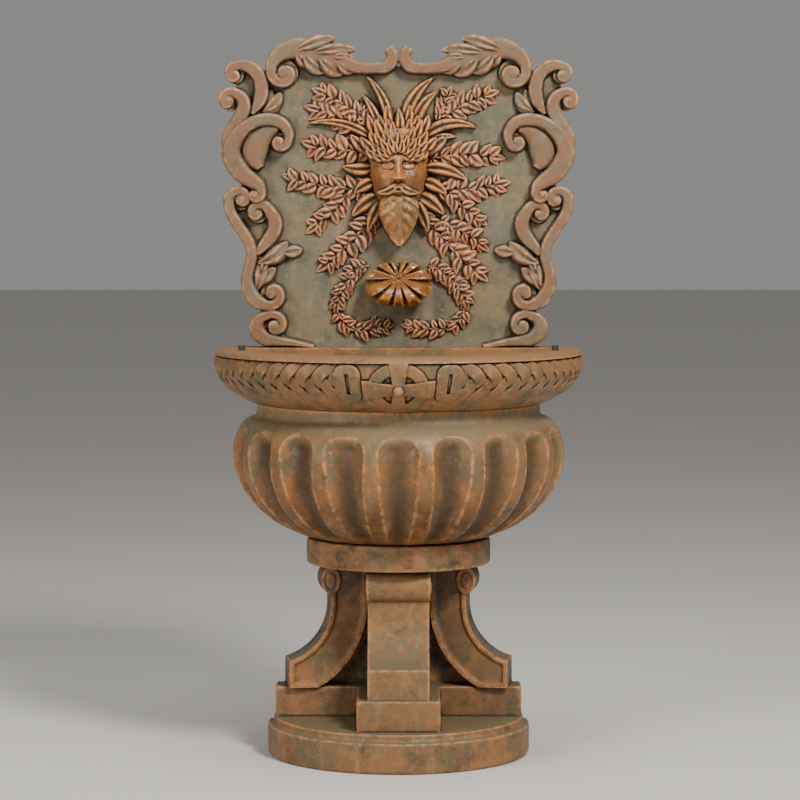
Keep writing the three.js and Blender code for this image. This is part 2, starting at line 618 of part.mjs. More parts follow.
// Hair and beard leaves round the face: stalk, tip, half width, base height and relief
const HEAD_LEAVES = [
  [0, 448, 0, 530, 18, 30, 26], [-20, 446, -40, 516, 16, 28, 24], [20, 446, 40, 516, 16, 28, 24],
  [-14, 430, -22, 476, 14, 52, 16], [14, 430, 22, 476, 14, 52, 16],
  [-38, 426, -72, 484, 16, 26, 24], [38, 426, 72, 484, 16, 26, 24],
  [-18, 468, -68, 588, 12, 14, 18], [-40, 462, -78, 548, 11, 12, 16],
  [14, 468, 73, 584, 15, 14, 18], [32, 466, 84, 552, 13, 12, 16],
  [44, 448, 172, 480, 14, 12, 16], [-46, 446, -194, 488, 11, 12, 14],
  [-50, 424, -106, 462, 15, 14, 20], [50, 424, 108, 464, 15, 14, 20],
  [-54, 392, -124, 394, 14, 14, 20], [54, 390, 148, 364, 14, 14, 20],
  [-50, 362, -98, 334, 14, 14, 20], [50, 362, 106, 332, 14, 14, 20],
  [-40, 332, -102, 284, 16, 14, 22], [38, 334, 100, 288, 16, 14, 22],
  [-30, 322, -67, 252, 15, 18, 20], [30, 322, 66, 250, 15, 18, 20],
  [-12, 352, -50, 336, 11, 60, 16], [12, 352, 50, 336, 11, 60, 16],
  [0, 346, 2, 222, 44, 44, 32],
];

// Spill shell

const SHELL_FOOT = 83;
const SHELL_TOP = 185;

// The shell's outline: a straight-shouldered fan above, a rounded lip below.
function shellOutline(grow) {
  const middle = (SHELL_FOOT + SHELL_TOP) / 2 + 4;
  const radii = [SHELL_HALF_WIDTH / CARVING + grow, (SHELL_TOP - SHELL_FOOT) / 2 + grow];
  return arc([0, middle], radii, 0, 345, 23);
}

function shellSolid() {
  const hinge = [0, 153];
  const rim = shellOutline(0);
  const rings = [0.12, 0.5, 0.85, 1].map((share) => rim.map(([x, z], j) => {
    const rib = j % 2 ? 0.92 : 1.04;
    const drop = THREE.MathUtils.clamp((hinge[1] - z) / 70, 0, 1);
    const bulge = SHELL_SEAT + (SHELL_RELIEF - SHELL_SEAT) * (0.3 + 0.7 * drop * share) * rib;
    return onPanel(lerp(hinge[0], x, share), lerp(hinge[1], z, share), share < 1 ? bulge : bulge * 0.86);
  }));
  rings.push(rim.map(([x, z]) => onPanel(x * 0.96, lerp(hinge[1], z, 0.96), SHELL_SEAT + BED_JOINT)));
  return loft(rings);
}

function backPanelSolid() {
  const carving = [plateSolid(), faceSolid()];
  for (const side of [-1, 1]) {
    for (const path of Object.values(SCROLLS)) {
      carving.push(carvedBand(path, side, SCROLL_RELIEF, FLAT_BAND));
    }
    carving.push(carvedBand(PETAL, side, SCROLL_RELIEF * 0.8, DOMED_BAND));
    for (const [x, z, radius] of SCROLL_EYES) {
      carving.push(scrollEye(side, x, z, radius, SCROLL_RELIEF + 4));
    }
    for (const [x0, z0, x1, z1, half, base, relief] of FRAME_LEAVES) {
      carving.push(leafSolid([side * x0, z0, side * x1, z1, half], base, relief));
    }
  }
  for (const leaflet of SPRAYS.flatMap(spray)) carving.push(leafSolid(leaflet, 0, LEAF_RELIEF, LEAFLET));
  for (const [x0, z0, x1, z1, half, base, relief] of HEAD_LEAVES) {
    carving.push(leafSolid([x0, z0, x1, z1, half], base, relief));
  }
  const seat = prism(shellOutline(-6), -ROOT, SHELL_SEAT, (x, z, relief) => onPanel(x, z, relief));
  const pocket = prism(shellOutline(8), SHELL_SEAT, SHELL_RELIEF * 3, onPanel);
  const whole = joined([...carving, seat]).subtract(pocket);
  return cutAtWall(whole.subtract(belowLevel(Z_PANEL)));
}

// Rim plugs

function plugSolid(side) {
  const reach = RIM_RADIUS - LIP_WIDTH - RIM_FLAT / 3;
  const [x, y] = polar(side * rad(PLUG_ANGLE), reach, 0);
  const foot = Z_RIM + BED_JOINT;
  const rings = [[1, 0], [1, 0.75], [0.8, 1]];
  return loft(rings.map(([share, height]) => (
    arc([x, y], [PLUG_RADIUS * share, PLUG_RADIUS * share], 0, 330, 11)
      .map(([a, b]) => [a, b, foot + height * PLUG_HEIGHT])
  )));
}

// Materials and nodes

const stone = (color, roughness) => new THREE.MeshStandardMaterial({ color, roughness, metalness: 0 });
const pedestalStone = stone(0x8c6a47, 0.8);
const bowlStone = stone(0x7a6650, 0.78);
const basinStone = stone(0x8a6243, 0.76);
const panelStone = stone(0xa2795a, 0.8);
const wetStone = stone(0xa85f22, 0.25);
const plugRubber = stone(0x151515, 0.6);

function node(name, solid, material) {
  const { vertProperties, triVerts } = solid.getMesh();
  const geometry = new THREE.BufferGeometry();
  geometry.setAttribute('position', new THREE.BufferAttribute(new Float32Array(vertProperties), 3));
  geometry.setIndex(new THREE.BufferAttribute(new Uint32Array(triVerts), 1));
  geometry.computeVertexNormals();
  const mesh = new THREE.Mesh(geometry, material);
  mesh.name = name;
  return mesh;
}

const fountain = new THREE.Group();
fountain.add(
  node('pedestal', pedestalSolid(), pedestalStone),
  node('fluted_bowl', flutedBowlSolid(), bowlStone),
  node('rim_basin', rimBasinSolid(), basinStone),
  node('back_panel', backPanelSolid(), panelStone),
  node('spill_shell', shellSolid(), wetStone),
  node('rim_plug_left', plugSolid(-1), plugRubber),
  node('rim_plug_right', plugSolid(1), plugRubber),
);

// The origin is the middle of the footprint, on the ground.
const box = new THREE.Box3().setFromObject(fountain);
fountain.position.set(-(box.min.x + box.max.x) / 2, -(box.min.y + box.max.y) / 2, -box.min.z);

export default fountain;
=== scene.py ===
# %% [markdown]
# # A cast-stone wall fountain
#
# The real fountain is five castings bedded on each other: a console pedestal, a fluted bowl, a plaited
# rim basin, a carved back panel and a small spill shell. Two rubber plugs sit on the rim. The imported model
# gives every level and reach, so each piece is dressed in place and nothing is fitted afterwards.

# %% Load the fixed frame
import math

import bpy
import numpy as np
from mathutils import Matrix, Vector
from mathutils.kdtree import KDTree


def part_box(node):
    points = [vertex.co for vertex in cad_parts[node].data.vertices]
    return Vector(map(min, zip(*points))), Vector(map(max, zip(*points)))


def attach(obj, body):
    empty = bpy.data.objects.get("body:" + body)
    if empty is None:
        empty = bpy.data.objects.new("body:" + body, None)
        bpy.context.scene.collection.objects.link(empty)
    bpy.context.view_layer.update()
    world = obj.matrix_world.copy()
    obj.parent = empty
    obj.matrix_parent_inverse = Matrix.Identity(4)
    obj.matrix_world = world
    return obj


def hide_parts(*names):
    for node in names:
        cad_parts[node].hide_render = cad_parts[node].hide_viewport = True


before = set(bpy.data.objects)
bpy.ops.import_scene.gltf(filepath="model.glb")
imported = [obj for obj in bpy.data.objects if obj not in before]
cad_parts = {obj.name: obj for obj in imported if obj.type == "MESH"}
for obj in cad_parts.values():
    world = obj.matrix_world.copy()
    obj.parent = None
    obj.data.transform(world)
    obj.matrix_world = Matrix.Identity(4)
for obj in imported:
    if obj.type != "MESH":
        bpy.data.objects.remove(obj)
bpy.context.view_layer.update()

MM = 0.001
WALL_BEHIND_AXIS = 30 * MM
WALL_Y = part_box("back_panel")[1].y
AXIS_Y = WALL_Y - WALL_BEHIND_AXIS

# %% [markdown]
# ## Levels
#
# A bed joint is a real place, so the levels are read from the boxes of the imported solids. Anything that
# rests on a joint then stays on it.

# %% Read the levels of the bed joints
CAPITAL_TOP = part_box("pedestal")[1].z
BOWL_FOOT, BOWL_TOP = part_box("fluted_bowl")[0].z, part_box("fluted_bowl")[1].z
BASIN_FOOT, RIM_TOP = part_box("rim_basin")[0].z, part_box("rim_basin")[1].z
PANEL_FOOT, PANEL_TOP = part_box("back_panel")[0].z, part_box("back_panel")[1].z
print("levels", [round(z, 4) for z in (CAPITAL_TOP, BOWL_FOOT, BOWL_TOP, RIM_TOP, PANEL_FOOT, PANEL_TOP)])

# %% [markdown]
# ## Working with one piece at a time
#
# An operator acts on everything that is selected. These helpers clear the selection and pick one object,
# so that each later step touches only its own piece.

# %% Selection helpers
def pick(*objects):
    bpy.ops.object.select_all(action="DESELECT")
    for piece in objects:
        piece.select_set(True)
    bpy.context.view_layer.objects.active = objects[0]
    return objects[0]


def edit(piece, select="SELECT"):
    pick(piece)
    bpy.ops.object.mode_set(mode="EDIT")
    bpy.ops.mesh.select_all(action=select)


def leave_edit():
    bpy.ops.object.mode_set(mode="OBJECT")


def select_faces(piece, keep):
    edit(piece, "DESELECT")
    bpy.ops.mesh.select_mode(type="FACE")
    leave_edit()
    for face in piece.data.polygons:
        face.select = keep(face)
    bpy.ops.object.mode_set(mode="EDIT")


def apply_modifier(piece, kind, **settings):
    pick(piece)
    modifier = piece.modifiers.new(kind.title(), kind)
    for name, value in settings.items():
        setattr(modifier, name, value)
    bpy.ops.object.modifier_apply(modifier=modifier.name)


def mesh_piece(name, points, faces, edges=()):
    mesh = bpy.data.meshes.new(name)
    mesh.from_pydata([tuple(p) for p in points], list(edges), list(faces))
    piece = bpy.data.objects.new(name, mesh)
    bpy.context.scene.collection.objects.link(piece)
    return piece


def face_outwards(piece):
    edit(piece)
    bpy.ops.mesh.remove_doubles(threshold=0.00001)
    bpy.ops.mesh.normals_make_consistent(inside=False)
    leave_edit()
    return piece


# %% [markdown]
# ## Turned bodies, blocks and skins
#
# The base, collar and basin are round, so each is a drawn profile spun about the axis. The plinths are
# cubes with softened edges. Carved bands and leaves are skins over rows of points, because their width and
# height change all along them.

# %% Basic shapes
BLOCK_EDGE = 4 * MM


def primitive(add, **settings):
    bpy.ops.object.select_all(action="DESELECT")
    add(**settings)
    bpy.ops.object.transform_apply(location=True, rotation=True, scale=True)
    return bpy.context.object


def turned(name, profile, steps=128):
    points = [(radius, AXIS_Y, z) for radius, z in profile]
    piece = mesh_piece(name, points, [], [(i, i + 1) for i in range(len(points) - 1)])
    edit(piece)
    bpy.ops.mesh.spin(steps=steps, angle=2 * math.pi, center=(0, AXIS_Y, 0), axis=(0, 0, 1))
    leave_edit()
    return face_outwards(piece)


def stone_block(name, low, high):
    centre = [(a + b) / 2 for a, b in zip(low, high)]
    size = [b - a for a, b in zip(low, high)]
    piece = primitive(bpy.ops.mesh.primitive_cube_add, size=1, location=centre, scale=size)
    piece.name = name
    edit(piece)
    bpy.ops.mesh.bevel(offset=BLOCK_EDGE, segments=3, affect="EDGES")
    leave_edit()
    return piece


def skin(name, rings):
    rings = np.asarray(rings, float)
    count, width = rings.shape[:2]
    points = rings.reshape(-1, 3)
    faces = []
    for i in range(count - 1):
        for j in range(width):
            a = i * width + j
            b = i * width + (j + 1) % width
            faces.append((a, b, b + width, a + width))
    faces.append(tuple(range(width))[::-1])
    faces.append(tuple(range((count - 1) * width, count * width)))
    return face_outwards(mesh_piece(name, points, faces))


def arc(centre, radii, start, end, steps):
    angles = np.radians(np.linspace(start, end, steps + 1))
    return [(centre[0] + radii[0] * math.cos(a), centre[1] + radii[1] * math.sin(a)) for a in angles]


def rounded_foot(radius, z, edge, steps):
    return arc((radius - edge, z + edge), (edge, edge), -90, 0, steps)


def rounded_top(radius, z, edge, steps):
    return arc((radius - edge, z - edge), (edge, edge), 0, 90, steps)


def polar(angle, radius, z):
    return (radius * math.sin(angle), AXIS_Y - radius * math.cos(angle), z)


def smooth_step(value, low, high):
    t = np.clip((value - low) / (high - low), 0, 1)
    return t * t * (3 - 2 * t)


# %% [markdown]
# ## One cast skin
#
# A casting has no seams between its mouldings. The parts of a piece are joined, remeshed into one skin
# and thinned. Where the skin lies lower than its surroundings it is a hollow, and where it stands proud it
# is a ridge. Both are stored on the points with how far each one looks up, because a dark wash settles in
# hollows and painted shade darkens them, copper is rubbed on to ridges and dust lies on whatever looks up.
# The flat back on the wall has none.

# %% Fuse parts into a casting
COARSE = 1.0
UNEVEN = bpy.data.textures.new("uneven_cast", "CLOUDS")
UNEVEN.noise_scale = 0.03
UNEVEN.noise_depth = 3
FINE_REACH = 5 * MM
BROAD_REACH = 10 * MM
# Millimetres below or above the surroundings at which a hollow or ridge starts and is full
FINE_HOLLOW, BROAD_HOLLOW = (0.3, 1.5), (1.5, 6)
FINE_RIDGE, BROAD_RIDGE = (0.1, 1.0), (0.3, 3.4)
LOOKS_UP = (0.45, 0.95)
MOST_FACES = 190000


def neighbours_mean(values, edges, degree):
    total = np.zeros_like(values)
    for axis in range(values.shape[1]):
        total[:, axis] = np.bincount(edges[:, 0], values[edges[:, 1], axis], len(values))
        total[:, axis] += np.bincount(edges[:, 1], values[edges[:, 0], axis], len(values))
    return total / degree[:, None]


def point_array(mesh, name="co"):
    values = np.zeros(len(mesh.vertices) * 3)
    mesh.vertices.foreach_get(name, values)
    return values.reshape(-1, 3)


def measure_wear_and_shade(mesh, spacing, blur=1, edge=0.0):
    points, normals = point_array(mesh), point_array(mesh, "normal")
    edges = np.zeros(len(mesh.edges) * 2, np.int32)
    mesh.edges.foreach_get("vertices", edges)
    edges = edges.reshape(-1, 2)
    degree = np.maximum(np.bincount(edges.ravel(), minlength=len(points)), 1)
    fine_steps, broad_steps = [max(2, round((reach / spacing) ** 2)) for reach in (FINE_REACH, BROAD_REACH)]
    soft = points
    for step in range(broad_steps):
        soft = neighbours_mean(soft, edges, degree)
        if step + 1 == fine_steps:
            fine = ((soft - points) * normals).sum(1) / MM
    broad = ((soft - points) * normals).sum(1) / MM
    # The fine hollow is the patina wash in crevices; the broad hollow adds painted shade round the relief.
    hollow = 0.65 * smooth_step(fine, *FINE_HOLLOW) + 0.45 * smooth_step(broad, *BROAD_HOLLOW)
    ridge = (0.4 + 0.6 * edge) * smooth_step(-fine, *FINE_RIDGE)
    ridge += 0.75 * (1 - edge) * smooth_step(-broad, *BROAD_RIDGE)
    wear_and_shade = np.clip(np.column_stack([hollow, ridge]), 0, 1)
    for step in range(blur):
        wear_and_shade = 0.5 * wear_and_shade + 0.5 * neighbours_mean(wear_and_shade, edges, degree)
    return points, wear_and_shade


def nearest_wear_and_shade(piece, points, wear_and_shade):
    tree = KDTree(len(points))
    for index, point in enumerate(points):
        tree.insert(point, index)
    tree.balance()
    return wear_and_shade[[tree.find(vertex.co)[1] for vertex in piece.data.vertices]]


def store_wear_and_shade(piece, wear_and_shade):
    upward = smooth_step(point_array(piece.data, "normal")[:, 2], *LOOKS_UP)
    in_front = point_array(piece.data)[:, 1] < WALL_Y - 1 * MM
    for name, values in (("hollow", wear_and_shade[:, 0]), ("ridge", wear_and_shade[:, 1]), ("upward", upward)):
        layer = piece.data.attributes.new(name, "FLOAT", "POINT")
        layer.data.foreach_set("value", (values * in_front).astype(np.float32))


def cut_flat(piece, place, outward):
    edit(piece)
    bpy.ops.mesh.bisect(plane_co=place, plane_no=outward, use_fill=True, clear_outer=True)
    leave_edit()


def fuse(name, parts, voxel, smoothing=2):
    pick(*parts)
    if len(parts) > 1:
        bpy.ops.object.join()
    piece = bpy.context.view_layer.objects.active
    piece.name = name
    piece.data.name = name
    piece.data.remesh_voxel_size = voxel * COARSE
    bpy.ops.object.voxel_remesh()
    if smoothing:
        apply_modifier(piece, "SMOOTH", factor=0.5, iterations=smoothing)
    return piece


def surroundings(parts, voxel):
    pick(*parts)
    bpy.ops.object.duplicate()
    whole = fuse("surroundings", list(bpy.context.selected_objects), voxel)
    measured = measure_wear_and_shade(whole.data, voxel * COARSE)
    bpy.data.objects.remove(whole)
    return measured


def cast(name, parts, voxel, level_foot=None, limit=MOST_FACES, uneven=0.7 * MM, around=None, smoothing=2,
         blur=1, edge=0.0):
    piece = fuse(name, parts, voxel, smoothing)
    apply_modifier(piece, "DISPLACE", texture=UNEVEN, strength=uneven, mid_level=0.5, texture_coords="LOCAL")
    measured = measure_wear_and_shade(piece.data, voxel * COARSE, blur, edge)
    cut_flat(piece, (0, WALL_Y, 0), (0, 1, 0))
    if level_foot is not None:
        cut_flat(piece, (0, 0, level_foot), (0, 0, -1))
    limit = limit
    triangles = sum(len(face.vertices) - 2 for face in piece.data.polygons)
    if triangles > limit:
        apply_modifier(piece, "DECIMATE", ratio=limit / triangles)
    wear_and_shade = nearest_wear_and_shade(piece, *measured)
    # Hollows measured with the neighbouring castings add wash and painted shade where one casting meets
    # another.
    if around is not None:
        wear_and_shade = np.maximum(wear_and_shade, nearest_wear_and_shade(piece, *around) * (1, 0))
    store_wear_and_shade(piece, wear_and_shade)
    pick(piece)
    bpy.ops.object.shade_smooth_by_angle(angle=math.radians(50))
    print(name, triangles, "triangles, kept", len(piece.data.polygons), "faces")
    return piece


PAST_WALL = WALL_Y + 8 * MM

# %% [markdown]
# ## Pedestal
#
# A half-round slab carries T-shaped plinth blocks. Three scrolled consoles, one facing forward and one to
# each side, hold up a half-round capital. The consoles are drawn as one outline, extruded, and their sides
# inset to leave the raised border.

# %% Pedestal sizes
BASE_RADIUS = 288 * MM
BASE_HEIGHT = 67 * MM
STEP_RADIUS = 274 * MM
STEP_TOP = 83 * MM
PLINTH_TOP = 149 * MM
CAPITAL_FOOT = 420 * MM
CAPITAL_RADIUS = 201.5 * MM
SWEEP_CENTRE = (280 * MM, 330 * MM)
SWEEP_RADIUS = 128 * MM
BAND_THICKNESS = 80 * MM
VOLUTE_HEIGHT = 384 * MM
VOLUTE_HALVES = (20.5 * MM, 30 * MM)
SIDE_LEAN = math.radians(8.5)
# Half width, reach before the axis, back, foot and top
BLOCKS = {
    "front_plinth": (90 * MM, 238 * MM, PAST_WALL, 70 * MM, PLINTH_TOP),
    "side_plinth": (270 * MM, 40 * MM, PAST_WALL, 70 * MM, PLINTH_TOP),
    "rib": (35 * MM, 92 * MM, AXIS_Y + 10 * MM, 140 * MM, 430 * MM),
}
# Toe, near side, far side and turn about the axis
CONSOLES = {
    "front_console": (227 * MM, -66.5 * MM, 66.5 * MM, -math.pi / 2),
    "right_console": (244 * MM, -22 * MM, 75 * MM, -SIDE_LEAN),
    "left_console": (244 * MM, -75 * MM, 22 * MM, math.pi + SIDE_LEAN),
}


# %% Console
def console(name, toe, near, far, turn):
    outer, inner = SWEEP_RADIUS, SWEEP_RADIUS + BAND_THICKNESS
    cx, cz = SWEEP_CENTRE
    outer_end = 180 + math.degrees(math.acos((cx - toe) / outer))
    inner_end = 180 + math.degrees(math.asin((cz - PLINTH_TOP) / inner))
    top = CAPITAL_FOOT + 6 * MM
    foot = PLINTH_TOP - 1.5 * MM
    outline = [(toe, foot)]
    outline += arc(SWEEP_CENTRE, (outer, outer), outer_end, 180, 20)
    outline += [(cx - outer, top), (cx - inner, top)]
    outline += arc(SWEEP_CENTRE, (inner, inner), 180, inner_end, 20)
    outline += [(outline[-1][0], foot)]
    piece = mesh_piece(name, [(x, near, z) for x, z in outline], [tuple(range(len(outline)))])
    edit(piece)
    bpy.ops.mesh.extrude_region_move(TRANSFORM_OT_translate={"value": (0, far - near, 0)})
    leave_edit()
    face_outwards(piece)
    select_faces(piece, lambda face: abs(face.normal.y) > 0.9)
    bpy.ops.mesh.inset(thickness=9 * MM, depth=0, use_individual=True)
    bpy.ops.mesh.inset(thickness=5 * MM, depth=-6 * MM, use_individual=True)
    leave_edit()
    volute = primitive(bpy.ops.mesh.primitive_cylinder_add, vertices=64, radius=1, depth=1,
                       rotation=(math.pi / 2, 0, 0))
    select_faces(volute, lambda face: abs(face.normal.y) > 0.9)
    for thickness, depth in ((0.3, 0), (0.1, -0.025), (0.14, 0.04)):
        bpy.ops.mesh.inset(thickness=thickness, depth=depth, use_individual=True)
    leave_edit()
    middle = (cx - outer + 0.5 * MM, (near + far) / 2, VOLUTE_HEIGHT)
    reach = Matrix.Diagonal((VOLUTE_HALVES[0], far - near + 5 * MM, VOLUTE_HALVES[1], 1))
    volute.data.transform(Matrix.Translation(middle) @ reach)
    placed = Matrix.Translation((0, AXIS_Y, 0)) @ Matrix.Rotation(turn, 4, "Z")
    for part in (piece, volute):
        part.data.transform(placed)
    return [piece, volute]


# %% Build the pedestal
def build_pedestal():
    slab = turned("slab", [
        (0, 0), *rounded_foot(BASE_RADIUS, 0, 9 * MM, 5), *rounded_top(BASE_RADIUS, BASE_HEIGHT, 5 * MM, 3),
        *arc((STEP_RADIUS + 7 * MM, STEP_TOP - 6 * MM), (7 * MM, 10 * MM), 270, 180, 4),
        *rounded_top(STEP_RADIUS, STEP_TOP, 3 * MM, 2), (0, STEP_TOP),
    ])
    capital = turned("capital", [
        (0, CAPITAL_FOOT), *rounded_foot(CAPITAL_RADIUS, CAPITAL_FOOT, 6 * MM, 4),
        *rounded_top(CAPITAL_RADIUS, CAPITAL_TOP, 6 * MM, 4), (0, CAPITAL_TOP),
    ])
    parts = [slab, capital]
    for name, (half, reach, back, foot, top) in BLOCKS.items():
        parts.append(stone_block(name, (-half, AXIS_Y - reach, foot), (half, back, top)))
    _, _, _, foot, top = BLOCKS["rib"]
    sweep = SWEEP_RADIUS + BAND_THICKNESS
    for name, near, grow in (("web", AXIS_Y + 2 * MM, -7 * MM), ("backing", WALL_Y - 14 * MM, 18 * MM)):
        edge = arc(SWEEP_CENTRE, (sweep - grow,) * 2, 180, 238, 16)
        edge = [(edge[0][0], top)] + edge + [(edge[-1][0], foot)]
        outline = edge + [(-x, z) for x, z in reversed(edge)]
        parts.append(skin(name, [[(x, y, z) for x, z in outline] for y in (near, PAST_WALL)]))
    for name, placing in CONSOLES.items():
        parts += console(name, *placing)
    return cast("pedestal_casting", parts, 2.6 * MM, level_foot=0, limit=110000, blur=2)


pedestal = build_pedestal()

# %% [markdown]
# ## Fluted bowl
#
# Eleven flutes run up the bowl, narrow at the foot and round-headed under the collar. The skin's columns
# follow the edges of the flutes, so every arris stays crisp. The bowl is hollow, as it holds the pump. The
# insides of the flutes are darkened as painted shade, so after the cast they count as hollows too.

# %% Bowl sizes
BOWL_RADIUS = 363 * MM
BOWL_CURVE_HEIGHT = 267 * MM
BOWL_BELLY = 189 * MM
BOWL_CORE = 120 * MM
COLLAR_RADIUS = 310 * MM
FLUTE_PITCH = math.radians(18.5)
FLUTE_DEPTH = 22 * MM
FLUTE_HEAD = 251 * MM
FLUTES_EACH_SIDE = 5
BACK_START = 5.7 * FLUTE_PITCH
COLLAR_COVE = 13 * MM
BOWL_WALL = 38 * MM
BOWL_FLOOR = 40 * MM
MOUTH_RADIUS = COLLAR_RADIUS - 36 * MM


# %% Bowl profile and flutes
def bowl_profile(inset=0.0, lower_steps=30, upper_steps=16):
    lower = arc((BOWL_CORE, BOWL_BELLY), (BOWL_RADIUS - BOWL_CORE, 195 * MM), -75.8, 0, lower_steps)
    shoulder = COLLAR_RADIUS + 3 * MM
    radii = (BOWL_RADIUS - shoulder, BOWL_CURVE_HEIGHT - BOWL_BELLY)
    upper = arc((shoulder, BOWL_BELLY), radii, 0, 88, upper_steps)
    return [(radius - inset, z) for radius, z in lower + upper[1:]]


def flute_half_width(z):
    share = np.clip(z / FLUTE_HEAD, 0, 1)
    width = math.radians(10.5 + 4.2 * share) / 2
    head = width * BOWL_RADIUS
    over = np.clip((z - (FLUTE_HEAD - head)) / head, 0, 1)
    return max(width * math.sqrt(1 - over * over), width * 0.04)


def flute_fade(z):
    return smooth_step(z, -4 * MM, 22 * MM) * (1 - smooth_step(z, FLUTE_HEAD - 34 * MM, FLUTE_HEAD - 3 * MM))


def build_bowl():
    shares = np.linspace(-1, 1, 13)
    rings = []
    for radius, z in bowl_profile():
        half = flute_half_width(z)
        ring = []
        for k in range(-FLUTES_EACH_SIDE, FLUTES_EACH_SIDE + 1):
            middle = k * FLUTE_PITCH
            for share in shares:
                cut = FLUTE_DEPTH * flute_fade(z) * (1 - share * share) ** 0.8
                ring.append(polar(middle + share * half, radius - cut, BOWL_FOOT + z))
            ring.append(polar(middle + FLUTE_PITCH / 2, radius - 0.6 * MM, BOWL_FOOT + z))
        back = np.linspace(BACK_START, 2 * math.pi - BACK_START, 12)
        rings.append(ring + [polar(angle, radius, BOWL_FOOT + z) for angle in back])
    body = skin("bowl_body", rings)
    shoulder, cove = BOWL_FOOT + BOWL_CURVE_HEIGHT - 1 * MM, COLLAR_COVE
    collar = turned("collar", [
        (0, shoulder - 30 * MM), (COLLAR_RADIUS, shoulder - 30 * MM),
        (COLLAR_RADIUS + cove, shoulder - 3 * MM),
        *arc((COLLAR_RADIUS + cove, shoulder + cove), (cove, cove), 270, 180, 6),
        *rounded_top(COLLAR_RADIUS, BOWL_TOP, 2 * MM, 2), (0, BOWL_TOP),
    ])
    inner = [(radius, BOWL_FOOT + z) for radius, z in bowl_profile(BOWL_WALL, 14, 8)
             if z > BOWL_FLOOR and (z < BOWL_BELLY or radius > MOUTH_RADIUS)]
    hollow = turned("hollow", [
        (0, BOWL_FOOT + BOWL_FLOOR), (inner[0][0] - 25 * MM, BOWL_FOOT + BOWL_FLOOR), *inner,
        (MOUTH_RADIUS, BOWL_TOP - 50 * MM), (MOUTH_RADIUS, BOWL_TOP + 20 * MM), (0, BOWL_TOP + 20 * MM),
    ], 64)
    cut_flat(hollow, (0, WALL_Y - BOWL_WALL, 0), (0, 1, 0))
    body = fuse("bowl_body", [body, collar], 3 * MM, smoothing=0)
    apply_modifier(body, "BOOLEAN", operation="DIFFERENCE", object=hollow, solver="FAST")
    bpy.data.objects.remove(hollow)
    casting = cast("bowl_casting", [body], 2.6 * MM, limit=110000, blur=8)
    points = point_array(casting.data)
    angle = np.arctan2(points[:, 0], AXIS_Y - points[:, 1])
    nearest = np.clip(np.round(angle / FLUTE_PITCH), -FLUTES_EACH_SIDE, FLUTES_EACH_SIDE) * FLUTE_PITCH
    half = np.array([flute_half_width(z - BOWL_FOOT) for z in points[:, 2]])
    # Painted shade: the middle of each flute is added to the hollows, fading out at its foot and head.
    sunk = np.clip(1 - ((angle - nearest) / half) ** 2, 0, 1) * flute_fade(points[:, 2] - BOWL_FOOT)
    layer = casting.data.attributes["hollow"].data
    values = np.zeros(len(points))
    layer.foreach_get("value", values)
    layer.foreach_set("value", np.clip(values + 0.5 * sunk, 0, 1).astype(np.float32))
    return casting


bowl = build_bowl()

# %% [markdown]
# ## Rim basin
#
# The basin is a shallow dish with a rolled lip. Three flat strands are plaited round its band: each one
# swings from edge to edge, and passes over and under its neighbours in turn. A ring cross with a boss hides
# the place where the two plaits would meet.

# %% Basin sizes
RIM_RADIUS = 404 * MM
BAND_RADIUS = 397 * MM
BASIN_FOOT_RADIUS = 312 * MM
BASIN_CURVE_HEIGHT = 83 * MM
BASIN_CURVE_POWER = 1.55
LIP_WIDTH = 30 * MM
LIP_HEIGHT = 15.5 * MM
PLAIT_TOP = RIM_TOP - BASIN_FOOT - LIP_HEIGHT - 1 * MM
PLAIT_HEIGHT = 83 * MM
PLAIT_PITCH = 40 * MM
PLAIT_START = 124 * MM
STRAND_HALF = 12.6 * MM
CROSS_HEIGHT = 50 * MM
CROSS_RELIEF = 9 * MM
BASIN_FLOOR = 40 * MM
MOUTH_INSET = 31 * MM
BACK_LEDGE = 75 * MM
ROOT = 5 * MM


# %% Carving on the band
def rim_radius(z):
    drop = np.clip((BASIN_CURVE_HEIGHT - z) / BASIN_CURVE_HEIGHT, 0, 1)
    bulge = (1 - drop ** BASIN_CURVE_POWER) ** (1 / BASIN_CURVE_POWER)
    return BASIN_FOOT_RADIUS + (BAND_RADIUS - BASIN_FOOT_RADIUS) * bulge


def on_rim(along, z, relief):
    return polar(along / RIM_RADIUS, rim_radius(z) + relief, BASIN_FOOT + z)


STRAND_SECTION = [(-1, None), (-1, 0.8), (-0.9, 0.95), (-0.75, 1), (0, 1.03), (0.75, 1), (0.9, 0.95),
                  (1, 0.8), (1, None)]


def rim_strand(name, path, place=on_rim):
    path = np.asarray(path, float)
    step = np.gradient(path[:, :2], axis=0)
    step /= np.linalg.norm(step, axis=1)[:, None]
    rings = []
    for (along, z, half, height), (da, dz) in zip(path, step):
        rings.append([
            place(along - dz * share * half, z + da * share * half, -ROOT if lift is None else lift * height)
            for share, lift in STRAND_SECTION
        ])
    return skin(name, rings)


